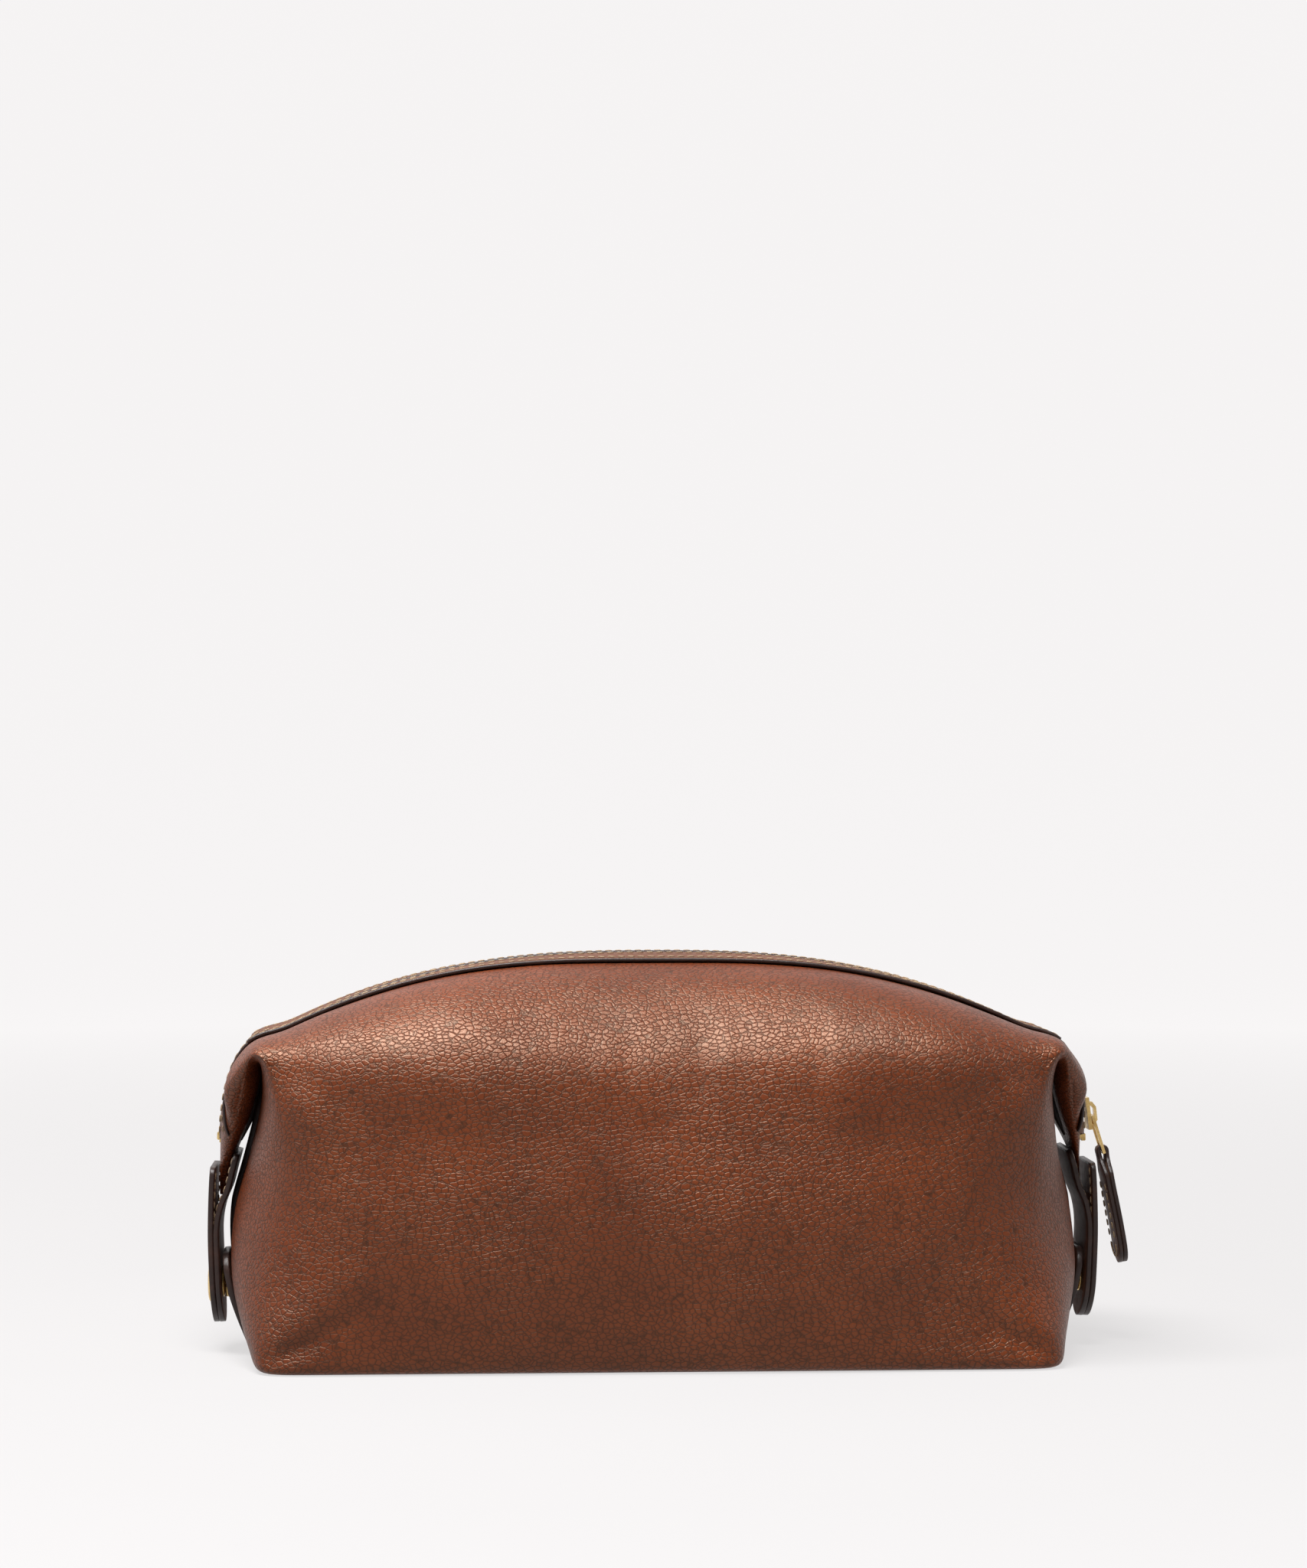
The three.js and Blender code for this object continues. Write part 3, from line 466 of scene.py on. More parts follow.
def pebble_leather():
    """Tumbled chestnut leather: rounded pebbles parted by fine valleys, darkened with painted shade."""
    n = Nodes("pebble_leather")
    wobble = n.add("ShaderNodeTexNoise", {"Vector": n.coords, "Scale": 300.0, "Detail": 2.0})
    shift = n.add("ShaderNodeVectorMath", {0: wobble.outputs["Color"], 1: (0.5, 0.5, 0.5)},
                  operation="SUBTRACT")
    nudge = n.add("ShaderNodeVectorMath", {0: shift.outputs[0], "Scale": 0.0010}, operation="SCALE")
    moved = n.add("ShaderNodeVectorMath", {0: n.coords, 1: nudge.outputs[0]}, operation="ADD").outputs[0]
    stretched = n.add("ShaderNodeMapping", {"Vector": moved, "Scale": (0.72, 1.0, 1.0),
                                            "Rotation": (0.0, 0.3, 0.0)}).outputs[0]
    cells = n.add("ShaderNodeTexVoronoi", {"Vector": stretched, "Scale": 760.0, "Randomness": 0.9},
                  feature="DISTANCE_TO_EDGE").outputs["Distance"]
    fine = n.add("ShaderNodeTexVoronoi", {"Vector": moved, "Scale": 1500.0}, feature="DISTANCE_TO_EDGE")
    pebble = n.math("POWER", n.span(cells, 0.0, 0.20), 0.55)
    small = n.math("POWER", n.span(fine.outputs["Distance"], 0.0, 0.2), 0.7)
    grain = n.math("ADD", n.math("MULTIPLY", pebble, 0.70), n.math("MULTIPLY", small, 0.10))
    crinkle = n.noise(105.0, 4.0, 0.6, (0.6, 1.0, 1.5))
    height = n.math("ADD", grain, crinkle)
    lumps = n.noise(44.0, 3.0, 0.5)
    first = n.bump(lumps, 0.0016, 0.6)
    patch = n.span(n.noise(17.0, 3.0), 0.36, 0.66)
    strength = n.span(patch, 0.0, 1.0, 0.55, 1.0)
    normal = n.bump(height, 0.00024, strength, first)
    cloud = n.span(n.noise(13.0, 4.0, 0.6), 0.3, 0.7)
    tone = n.mix(cloud, (0.070, 0.0118, 0.0026, 1), (0.116, 0.0220, 0.0048, 1))
    blotch = n.span(n.noise(46.0, 3.0, 0.6), 0.35, 0.75, 0.0, 0.35)
    tone = n.mix(blotch, tone, (0.160, 0.0340, 0.0080, 1))
    # Painted shade: the base colour darkens in the grain's valleys and lifts slightly on the pebble tops.
    valley_shade = n.span(grain, 0.15, 0.74, 0.30, 1.06)
    shaded = n.mix(1.0, tone, n.add("ShaderNodeCombineColor", {0: valley_shade, 1: valley_shade, 2: valley_shade}).outputs[0],
                   "MULTIPLY")
    rough = n.math("ADD", n.span(grain, 0.1, 0.9, 0.47, 0.34), n.span(cloud, 0, 1, 0.05, -0.02))
    return n.set(Base_Color=shaded, Roughness=rough, Normal=normal, Specular_IOR_Level=0.52,
                 Specular_Tint=(1.0, 0.74, 0.54, 1))


def smooth_leather(name, dark, light, rough=0.42):
    """Harness leather: nearly smooth, with fine pores and slight streaks."""
    n = Nodes(name)
    streak = n.span(n.noise(60.0, 4.0, 0.6, (0.5, 1.4, 0.8)), 0.3, 0.7)
    pores = n.add("ShaderNodeTexVoronoi", {"Vector": n.coords, "Scale": 1900.0}, feature="F1")
    pore = n.span(pores.outputs["Distance"], 0.0, 0.35)
    tone = n.mix(streak, dark + (1,), light + (1,))
    wrinkle = n.noise(420.0, 4.0, 0.6, (1.0, 1.0, 1.0))
    height = n.math("ADD", n.math("MULTIPLY", pore, 0.35), wrinkle)
    normal = n.bump(height, 0.00012, 0.55)
    roughness = n.span(wrinkle, 0.3, 0.7, rough + 0.07, rough - 0.05)
    return n.set(Base_Color=tone, Roughness=roughness, Normal=normal, Specular_IOR_Level=0.25)


def painted_edge():
    """Dark edge paint, uneven and half glossy."""
    n = Nodes("painted_edge")
    uneven = n.noise(700.0, 3.0, 0.6)
    rub = n.span(n.noise(210.0, 3.0), 0.52, 0.75, 0.0, 0.55)
    tone = n.mix(rub, (0.020, 0.010, 0.008, 1), (0.050, 0.020, 0.012, 1))
    return n.set(Base_Color=tone, Roughness=n.span(uneven, 0.3, 0.7, 0.50, 0.34),
                 Normal=n.bump(uneven, 0.00018, 0.6), Specular_IOR_Level=0.35)


def woven(name, dark, light, pitch):
    """Plain weave of crossing threads."""
    n = Nodes(name)
    scale = 1.0 / (pitch * MM)
    warp = n.add("ShaderNodeTexWave", {"Vector": n.coords, "Scale": scale / 6.28, "Distortion": 0.4},
                 bands_direction="X").outputs["Fac"]
    weft = n.add("ShaderNodeTexWave", {"Vector": n.coords, "Scale": scale / 6.28, "Distortion": 0.4},
                 bands_direction="DIAGONAL").outputs["Fac"]
    weave = n.math("MULTIPLY", warp, weft)
    tone = n.mix(n.span(n.noise(160.0), 0.3, 0.7), dark + (1,), light + (1,))
    # Painted shade: the base colour darkens in the low gaps of the weave between the crossing threads.
    tone = n.mix(n.span(weave, 0.0, 0.6, 0.45, 0.0), tone, tuple(c * 0.4 for c in dark) + (1,))
    return n.set(Base_Color=tone, Roughness=n.span(weave, 0, 1, 0.95, 0.8),
                 Normal=n.bump(weave, 0.0002, 0.6), Sheen_Weight=0.15)


def brass():
    """Polished brass with fine scratches and slightly dulled patches."""
    n = Nodes("aged_brass")
    dull = n.span(n.noise(240.0, 4.0, 0.6), 0.35, 0.7)
    scratch = n.noise(900.0, 3.0, 0.7, (0.15, 1.0, 1.0))
    tone = n.mix(dull, (0.78, 0.56, 0.24, 1), (0.50, 0.32, 0.11, 1))
    return n.set(Base_Color=tone, Metallic=1.0, Roughness=n.span(dull, 0, 1, 0.20, 0.42),
                 Normal=n.bump(scratch, 0.00004, 0.4))


def thread():
    """Waxed linen thread with a slight twist."""
    n = Nodes("waxed_thread")
    twist = n.add("ShaderNodeTexWave", {"Vector": n.coords, "Scale": 420.0, "Distortion": 1.2},
                  bands_direction="DIAGONAL").outputs["Fac"]
    tone = n.mix(n.span(n.noise(300.0), 0.3, 0.7), (0.17, 0.110, 0.060, 1), (0.26, 0.180, 0.105, 1))
    return n.set(Base_Color=tone, Roughness=n.span(twist, 0, 1, 0.8, 0.6),
                 Normal=n.bump(twist, 0.0001, 0.5))


LEATHER_LOOK = pebble_leather()
STRIP_LOOK = smooth_leather("strip_leather", (0.062, 0.022, 0.010), (0.098, 0.036, 0.017), 0.55)
STRAP_LOOK = smooth_leather("strap_leather", (0.075, 0.024, 0.011), (0.125, 0.042, 0.019), 0.55)
FLESH_LOOK = smooth_leather("flesh_side", (0.14, 0.075, 0.044), (0.22, 0.125, 0.078), 0.85)
EDGE_LOOK = painted_edge()
TAPE_LOOK = woven("zip_tape", (0.070, 0.036, 0.022), (0.110, 0.060, 0.036), 0.5)
LINING_LOOK = woven("lining_cotton", (0.40, 0.33, 0.23), (0.52, 0.44, 0.32), 0.45)
BRASS_LOOK = brass()
THREAD_LOOK = thread()

# ---- leather hide of the body
BODY = "bag"
EAR_BODIES = {-1: "left_ear_body", 1: "right_ear_body"}
TAB_BODIES = {-1: "left_tab_body", 1: "right_tab_body"}
END_WORDS = {-1: "left", 1: "right"}
QUARTERS = [(1, 1), (-1, 1), (1, -1), (-1, -1)]
SLOT_V = SLOT_HALF / STEP
SLOT_LIP_V = 1.4


def add_sheet(target, u, v, sx, sy, turned_over, offset=0.0):
    """Adds one displaced grid of the hide, at an offset from its outer face."""

    def face(a, b):
        return leather_surface(a, b, sx, sy)

    normals = cross_normal(face, u, v) * (sx * sy)
    points = face(u, v) + normals * offset
    target.grid(points, normals * (-1 if offset < 0 else 1), (sx * sy < 0) != turned_over)


def surface_grid(target, us, vs, sx, sy, offset=0.0):
    u, v = np.meshgrid(us, vs, indexing="ij")
    add_sheet(target, u, v, sx, sy, offset < 0, offset)


def base_fill(target, us, sx, sy, height, flip):
    """Flat middle of the base inside the last ring, as a strip of quads to the middle line."""
    ring = place(hide(us, np.full_like(us, BASE_V)), sx, sy)
    middle = ring * np.array([1, 0, 1.0])
    points = np.stack([ring + [0, 0, height], middle + [0, 0, height]], 1)
    normals = np.zeros_like(points)
    normals[..., 2] = 1 if flip else -1
    target.grid(points, normals, (sx * sy < 0) != flip)


def build_body_leather():
    fine = 5
    roof_us = spaced((FOLD, 6, 4 * fine), (6, LAST_COLUMN, 7 * fine))
    end_us = np.linspace(0, FOLD, 4 * fine + 1)
    all_us = np.concatenate([end_us, roof_us[1:]])
    roof_vs = spaced((SLOT_V, FOLD, 4 * fine), (FOLD, 6, 4 * fine))
    end_vs = np.linspace(FOLD, 6, 4 * fine + 1)
    low_vs = spaced((6, 11, 5 * fine), (11, BASE_V, 7 * fine))
    target = Surface()
    for sx, sy in QUARTERS:
        surface_grid(target, roof_us, roof_vs, sx, sy)
        surface_grid(target, end_us, end_vs, sx, sy)
        surface_grid(target, all_us, low_vs, sx, sy)
        base_fill(target, all_us, sx, sy, 0.0, False)
        surface_grid(target, roof_us, [SLOT_V, SLOT_LIP_V], sx, sy, -LEATHER)
    made = target.build("bag_leather", [LEATHER_LOOK])
    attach(made, BODY)
    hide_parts("body_leather")


def bend_with_ear(piece):
    """Bakes a piece's placement into its mesh; it stays unattached to any body."""
    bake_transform(piece)


def ear_grid(target, sx, sy, outer):
    """Half of one ear face, drawn as a fan of rows from the tip to the shoulder."""
    rows = 34
    e, share = np.meshgrid(np.linspace(0.0, FOLD, rows + 1), np.linspace(0, 1, rows + 1), indexing="ij")
    u, v = (e, e * share) if outer else (e * share, e)
    add_sheet(target, u, v, sx, sy, not outer)


def build_ears():
    for sx in (-1, 1):
        target = Surface()
        for sy in (-1, 1):
            ear_grid(target, sx, sy, True)
            ear_grid(target, sx, sy, False)
        made = target.build(END_WORDS[sx] + "_ear_leather", [LEATHER_LOOK])
        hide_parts(END_WORDS[sx] + "_ear")
        bend_with_ear(made)


# ---- bands that run beside the zip
def rounded_profile(low, high, bottom, top, radius, count=3):
    """Closed outline of a flat strip with rounded corners: [across, up]."""
    corners = [(high - radius, top - radius), (low + radius, top - radius),
               (low + radius, bottom + radius), (high - radius, bottom + radius)]
    outline = []
    for quarter, (x, y) in enumerate(corners):
        for k in range(count + 1):
            angle = (quarter + k / count) * math.pi / 2
            outline.append((x + radius * math.cos(angle), y + radius * math.sin(angle)))
    return np.array(outline)


EDGE_REACH = 0.32


def band(name, profile, us, sx_list, sy, look, edge_look, low, high):
    """Sweeps a closed profile of (distance from zip, offset) along the hide."""
    target = Surface()
    closed = np.concatenate([profile, profile[:1]])
    for sx in sx_list:
        u, k = np.meshgrid(us, np.arange(len(closed)), indexing="ij")
        p, n = hide_frame(u, closed[k, 0] / STEP)
        points = place(p + n * closed[k, 1][..., None], sx, sy)
        target.grid(points, np.zeros_like(points) + [0, 0, 1.0], sx * sy > 0)
    made = target.build(name, [look, edge_look], use_normals=False)
    middle = (closed[1:, 0] + closed[:-1, 0]) / 2
    edge = (middle > high - EDGE_REACH) | (middle < low + EDGE_REACH)
    polygons = made.data.polygons
    polygons.foreach_set("material_index", [int(edge[k % len(edge)]) for k in range(len(polygons))])
    return made


STRIP_PROFILE = rounded_profile(STRIP_INNER, STRIP_OUTER, 0.45, 1.6, 0.42)
EAR_STRIP_PROFILE = rounded_profile(STRIP_INNER, STRIP_OUTER, 0.25, 1.15, 0.36)
TAPE_PROFILE = rounded_profile(TAPE_INNER, TAPE_OUTER, 0.08, 0.4, 0.12, 1)
EAR_LIMIT = 1.45


def finish_band(made, nodes, sx=None):
    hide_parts(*nodes)
    if sx is None:
        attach(made, BODY)
    else:
        bend_with_ear(made)


def build_zip_bands():
    fine = 6
    roof_us = spaced((FOLD, 6, 4 * fine), (6, LAST_COLUMN, 7 * fine))
    ear_us = np.linspace(EAR_LIMIT, FOLD, 4 * fine + 1)
    kinds = [
        ("strip", STRIP_PROFILE, EAR_STRIP_PROFILE, STRIP_LOOK, EDGE_LOOK, STRIP_INNER, STRIP_OUTER,
         "strip_leather"),
        ("tape", TAPE_PROFILE, TAPE_PROFILE, TAPE_LOOK, TAPE_LOOK, TAPE_INNER, TAPE_OUTER, "tape"),
    ]
    for kind, profile, ear_profile, look, edge_look, low, high, slot_name in kinds:
        for face, sy in (("front", 1), ("back", -1)):
            made = band("zip_" + kind + "_" + face + "_roof", profile, roof_us, (1, -1), sy,
                        look, edge_look, low, high)
            finish_band(made, ["zip_" + kind + "_" + face])
            for sx in (-1, 1):
                word = END_WORDS[sx]
                made = band(word + "_" + kind + "_" + face + "_fold", ear_profile, ear_us, (sx,), sy,
                            look, edge_look, low, high)
                finish_band(made, [word + "_ear_" + kind + "_" + face], sx)


# ---- small repeated solids on the zip
def tube_faces(rings, around):
    """Faces of a closed tube: its sides ring by ring, then its two ends."""
    faces = []
    for r in range(rings - 1):
        for k in range(around):
            n = (k + 1) % around
            faces.append([r * around + k, r * around + n, (r + 1) * around + n, (r + 1) * around + k])
    faces.append(list(range(around))[::-1])
    faces.append(list(range((rings - 1) * around, rings * around)))
    return faces


class Parts:
    """Gathers many small closed solids into one mesh."""

    def __init__(self):
        self.points, self.faces = [], []

    def add(self, points, faces):
        base = len(self.points)
        self.points += [list(p) for p in points]
        self.faces += [[base + i for i in f] for f in faces]

    def capsule(self, centre, direction, side, length, radius):
        """Stitch: a short rounded thread."""
        direction = direction / np.linalg.norm(direction)
        up = np.cross(direction, side)
        up = up / np.linalg.norm(up)
        side = np.cross(up, direction)
        rings, around = [(-0.5, 0.35), (-0.32, 0.9), (0.0, 1.0), (0.32, 0.9), (0.5, 0.35)], 8
        points = []
        for t, scale in rings:
            for k in range(around):
                angle = 2 * math.pi * k / around
                offset = (side * math.cos(angle) + up * math.sin(angle)) * radius * scale
                points.append(centre + direction * length * t + offset)
        self.add(points, tube_faces(len(rings), around))

    def block(self, centre, along_axis, across_axis, up_axis, size, taper=0.8):
        """Tooth: a block a little narrower at its top."""
        a, c, h = [s / 2 for s in size]
        points = []
        for z, scale in ((-h, 1.0), (h * 0.5, 1.0), (h, taper)):
            for x, y in ((-a, -c), (a, -c), (a, c), (-a, c)):
                points.append(centre + along_axis * x * scale + across_axis * y * scale + up_axis * z)
        faces = [[3, 2, 1, 0], [8, 9, 10, 11]]
        for r in range(2):
            for k in range(4):
                n = (k + 1) % 4
                faces.append([r * 4 + k, r * 4 + n, r * 4 + 4 + n, r * 4 + 4 + k])
        self.add(points, faces)

    def build(self, name, look, smooth_faces=True):
        return make_object(name, self.points, self.faces, [look], smooth_faces=smooth_faces)


def even_us(u_from, u_to, b, pitch):
    """Net positions along the zip spaced evenly in real length."""
    u = np.linspace(u_from, u_to, 1500)
    p = hide(u, np.full_like(u, b / STEP))
    length = np.concatenate([[0], np.cumsum(np.linalg.norm(np.diff(p, axis=0), axis=1))])
    count = max(2, int(length[-1] / pitch))
    marks = (np.arange(count) + 0.5) * length[-1] / count
    return np.interp(marks, length, u)


def zip_axes(u, b, sx, sy, lift):
    """Centre, direction along the zip, direction across it and up, for each net position."""
    v = np.full_like(u, b / STEP)
    p, n = hide_frame(u, v)
    ahead = hide(u + 0.02, v) - hide(u - 0.02, v)
    ahead /= np.linalg.norm(ahead, axis=1, keepdims=True)
    across = np.cross(n, ahead)
    mirror = np.array([sx, sy, 1.0])
    return (p + n * lift) * mirror, ahead * mirror, across * mirror, n * mirror


STITCH_LENGTH = 2.1
TOOTH_SIZE = (1.05, 3.2, 1.7)
TOOTH_OFFSET = 1.1
TOOTH_LIFT = 0.25
ROOF_STITCH_LIFT = 1.62
EAR_STITCH_LIFT = 1.17


def stitch_run(parts, u_from, u_to, b, sx, sy, lift):
    us = even_us(u_from, u_to, b, STITCH_PITCH)
    for centre, ahead, across, _ in zip(*zip_axes(us, b, sx, sy, lift)):
        parts.capsule(centre, ahead + across * 0.12, across, STITCH_LENGTH, 0.24)


def teeth_run(parts, u_from, u_to, sx, sy):
    """One row of teeth; the back row stands half a pitch further on."""
    us = even_us(u_from, u_to, 0.0, TOOTH_PITCH)
    half = (us[1] - us[0]) / 2
    if sy < 0:
        us = us[:-1] + half
    for centre, ahead, across, up in zip(*zip_axes(us, TOOTH_OFFSET, sx, sy, TOOTH_LIFT)):
        parts.block(centre, ahead, across, up, TOOTH_SIZE)


def build_zip_trim():
    stitch_lines = (STRIP_OUTER - 2.1, STRIP_INNER + 1.9)
    for face, sy in (("front", 1), ("back", -1)):
        stitches, teeth = Parts(), Parts()
        for sx in (-1, 1):
            for b in stitch_lines:
                stitch_run(stitches, 4.02, LAST_COLUMN, b, sx, sy, ROOF_STITCH_LIFT)
            teeth_run(teeth, 4.0, LAST_COLUMN, sx, sy)
        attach(stitches.build("strip_stitches_" + face, THREAD_LOOK), BODY)
        made = teeth.build("zip_teeth_row_" + face, BRASS_LOOK, False)
        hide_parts("zip_teeth_" + face)
        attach(made, BODY)
        for sx in (-1, 1):
            word = END_WORDS[sx]
            stitches, teeth = Parts(), Parts()
            for b in stitch_lines:
                stitch_run(stitches, EAR_LIMIT + 0.1, 3.98, b, sx, sy, EAR_STITCH_LIFT)
            teeth_run(teeth, 1.3, 3.95, sx, sy)
            bend_with_ear(stitches.build(word + "_fold_stitches_" + face, THREAD_LOOK))
            made = teeth.build(word + "_fold_teeth_" + face, BRASS_LOOK, False)
            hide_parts(word + "_ear_teeth_" + face)
            bend_with_ear(made)


STOP_PLACES = {-1: 1.5, 1: 1.38}
STOP_SIZE = (2.2, 5.6, 1.3)


def build_zip_stops():
    for sx, u in STOP_PLACES.items():
        crimp = Parts()
        for centre, ahead, across, up in zip(*zip_axes(np.array([u]), 0.0, sx, 1, 1.2)):
            crimp.block(centre, ahead, across, up, STOP_SIZE)
        made = crimp.build(END_WORDS[sx] + "_zip_stop_crimp", BRASS_LOOK, False)
        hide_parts(END_WORDS[sx] + "_zip_stop")
        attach(made, EAR_BODIES[sx])


# ---- straps, tabs, pull: flat leather ribbons
def smooth_line(points, count):
    """Evenly spaced points of a Catmull-Rom curve through [x, z] points."""
    p = np.array(points, float)
    p = np.concatenate([[2 * p[0] - p[1]], p, [2 * p[-1] - p[-2]]])
    fine = []
    for k in range(1, len(p) - 2):
        for t in np.linspace(0, 1, 12, endpoint=False):
            a, b, c, d = p[k - 1], p[k], p[k + 1], p[k + 2]
            fine.append(0.5 * (2 * b + (c - a) * t + (2 * a - 5 * b + 4 * c - d) * t ** 2
                               + (3 * b - a - 3 * c + d) * t ** 3))
    fine.append(p[-2])
    fine = np.array(fine)
    length = np.concatenate([[0], np.cumsum(np.linalg.norm(np.diff(fine, axis=0), axis=1))])
    even = np.linspace(0, length[-1], count)
    return np.stack([np.interp(even, length, fine[:, c]) for c in range(2)], 1), length[-1]


def end_inset(distance, radius):
    if radius <= 0 or distance >= radius:
        return 0.0
    return radius - math.sqrt(max(0.0, radius ** 2 - (radius - distance) ** 2))


def ribbon_rings(line, samples, count):
    """A ribbon's centre line and its length, then each ring's share of it, centre and outward way.

    The rings are closest together near both ends, where the outline turns.
    """
    points, total = smooth_line(line, samples)
    eased = 0.5 - 0.5 * np.cos(np.linspace(0, math.pi, count))
    share = 0.35 * np.linspace(0, 1, count) + 0.65 * eased
    centre = np.stack([np.interp(share, np.linspace(0, 1, samples), points[:, c]) for c in range(2)], 1)
    tangent = np.gradient(centre, axis=0)
    tangent /= np.linalg.norm(tangent, axis=1, keepdims=True)
    return points, total, share, centre, np.stack([-tangent[:, 1], tangent[:, 0]], 1)


def sweep(centre, out, outlines):
    """Points and faces of a closed ribbon through one outline of (across, up) per ring."""
    points = []
    for c, o, outline in zip(centre, out, outlines):
        points += [[c[0] + o[0] * h, y, c[1] + o[1] * h] for y, h in outline]
    rings, around = len(outlines), len(outlines[0])
    faces = []
    for r in range(rings - 1):
        for k in range(around):
            n = (k + 1) % around
            faces.append([r * around + k, (r + 1) * around + k, (r + 1) * around + n, r * around + n])
    faces.append(list(range(around)))
    faces.append(list(range((rings - 1) * around, rings * around))[::-1])
    return points, faces


LEAST_HALF_WIDTH = 0.9
END_PAINT = 0.5


def leather_ribbon(name, line, thickness, half_width, start_radius, end_radius, look):
    """Leather ribbon across Y along [x, z] points, with rounded ends and rounded painted edges."""
    count = 90
    points, total, share, centre, out = ribbon_rings(line, 400, count)
    radius = min(0.45, thickness * 0.3)
    outlines = []
    for distance in share * total:
        w = half_width - end_inset(distance, start_radius) - end_inset(total - distance, end_radius)
        w = max(LEAST_HALF_WIDTH, w)
        outline = rounded_profile(-w, w, -thickness / 2, thickness / 2, radius)
        inner = np.linspace(-w + radius, w - radius, 7)[1:-1]
        top = [(x, thickness / 2) for x in inner[::-1]]
        bottom = [(x, -thickness / 2) for x in inner]
        outlines.append(np.concatenate([outline[:4], top, outline[4:12], bottom, outline[12:]]))
    ribbon_points, faces = sweep(centre, out, outlines)
    slots = []
    for r in range(count - 1):
        near_end = share[r] * total < END_PAINT or (1 - share[r + 1]) * total < END_PAINT
        for k in range(len(outlines[0])):
            flat = 3 <= k < 9 or 16 <= k < 22
            slots.append(0 if flat and not near_end else 1)
    slots += [1, 1]
    return make_object(name, ribbon_points, faces, [look, EDGE_LOOK], slots), (points, total)


def ribbon_stitches(name, line_data, half_width, lift, from_mm, to_mm, inset, sx):
    """Stitch line near both long edges of a ribbon and round its end."""
    points, total = line_data
    parts = Parts()

    def at(distance):
        s = distance / total * (len(points) - 1)
        return np.array([np.interp(s, np.arange(len(points)), points[:, c]) for c in range(2)])

    w = half_width - inset
    straight_to = to_mm - w
    straight = np.arange(from_mm, straight_to, STITCH_PITCH)
    path = [(d, w) for d in straight]
    for k in range(1, 12):
        angle = math.pi * k / 12
        path.append((straight_to + w * math.sin(angle), w * math.cos(angle)))
    path += [(d, -w) for d in straight[::-1]]
    for k, (d, y) in enumerate(path):
        here, ahead = at(d), at(min(total, d + 0.5)) - at(max(0, d - 0.5))
        ahead /= np.linalg.norm(ahead)
        out = np.array([-ahead[1], ahead[0]])
        centre = np.array([here[0] + out[0] * lift, y, here[1] + out[1] * lift])
        d2, y2 = path[min(k + 1, len(path) - 1)]
        d1, y1 = path[max(k - 1, 0)]
        run = np.array([ahead[0] * (d2 - d1), y2 - y1, ahead[1] * (d2 - d1)])
        run /= np.linalg.norm(run)
        side = np.cross(run, np.array([out[0], 0, out[1]]))
        parts.capsule(centre, run, side, STITCH_LENGTH, 0.27)
    parts.points = [[x * sx, y, z] for x, y, z in parts.points]
    if sx < 0:
        parts.faces = [f[::-1] for f in parts.faces]
    return parts.build(name, THREAD_LOOK)


def mirror_object(obj, sx):
    """Turns a piece drawn for the right end into the left end's piece, when sx is negative."""
    if sx < 0:
        for vertex in obj.data.vertices:
            vertex.co.x = -vertex.co.x
        obj.data.flip_normals()


STRAP_HALF_WIDTH = 12.5
STRAP_LAYER = 1.62
STRAP_AWAY = 0.83
STRAP_X = 130.8
STRAP_FOOT = 8.6
TAB_THICK = 1.9
SNAP_HEIGHT = 20.5


def strap_line(side):
    """Centre line of a strap's outer (1) or inner (-1) layer, from under the ear to its foot."""
    away = side * STRAP_AWAY
    tops = {1: [[131.0, 55.5], [131.4, 48]], -1: [[123.9, 59.5], [125.3, 54.5], [126.7, 49], [128.9, 43.5]]}
    shared = [[STRAP_X, 37], [STRAP_X - 0.2, 28], [STRAP_X - 0.7, 18], [STRAP_X - 1.4, STRAP_FOOT]]
    return tops[side] + [[x + away, z] for x, z in shared]


def tab_line():
    """Centre line of the fixed tab, on the end panel under the strap."""
    line = []
    for k, v in enumerate(np.linspace(10, 13.45, 7)):
        p, n = hide_frame(np.array([0.0]), np.array([v]))
        lift = TAB_THICK / 2 + (0.75 if k == 0 else 0.45)
        line.append([float(p[0, 0] + n[0, 0] * lift), float(p[0, 2] + n[0, 2] * lift)])
    return line


def build_straps():
    for sx in (-1, 1):
        word, body = END_WORDS[sx], EAR_BODIES[sx]
        for layer, side in (("outer", 1), ("inner", -1)):
            made, data = leather_ribbon(word + "_strap_" + layer + "_leather", strap_line(side),
                                        STRAP_LAYER, STRAP_HALF_WIDTH, 2.5, STRAP_HALF_WIDTH, STRAP_LOOK)
            mirror_object(made, sx)
            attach(made, body)
            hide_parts(word + "_strap_" + layer)
            lift = side * (STRAP_LAYER / 2 + 0.08)
            sewn = ribbon_stitches(word + "_strap_" + layer + "_stitches", data, STRAP_HALF_WIDTH, -lift,
                                   2.5, data[1] - 2.4, 2.4, sx)
            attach(sewn, body)
        made, _ = leather_ribbon(word + "_tab_leather", tab_line(), TAB_THICK, STRAP_HALF_WIDTH, 6, 0,
                                 STRAP_LOOK)
        mirror_object(made, sx)
        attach(made, TAB_BODIES[sx])
        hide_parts(word + "_tab")


# ---- turned brass pieces
def turned(name, face, profile, sx, around=64):
    """Turned brass piece about X at the snap's height: profile of (distance from a face, radius)."""
    points = []
    for d, r in profile:
        for k in range(around):
            angle = 2 * math.pi * k / around
            points.append([(face + d) * sx, r * math.cos(angle), SNAP_HEIGHT + r * math.sin(angle)])
    faces = tube_faces(len(profile), around)
    if sx < 0:
        faces = [f[::-1] for f in faces]
    return make_object(name, points, faces, [BRASS_LOOK])


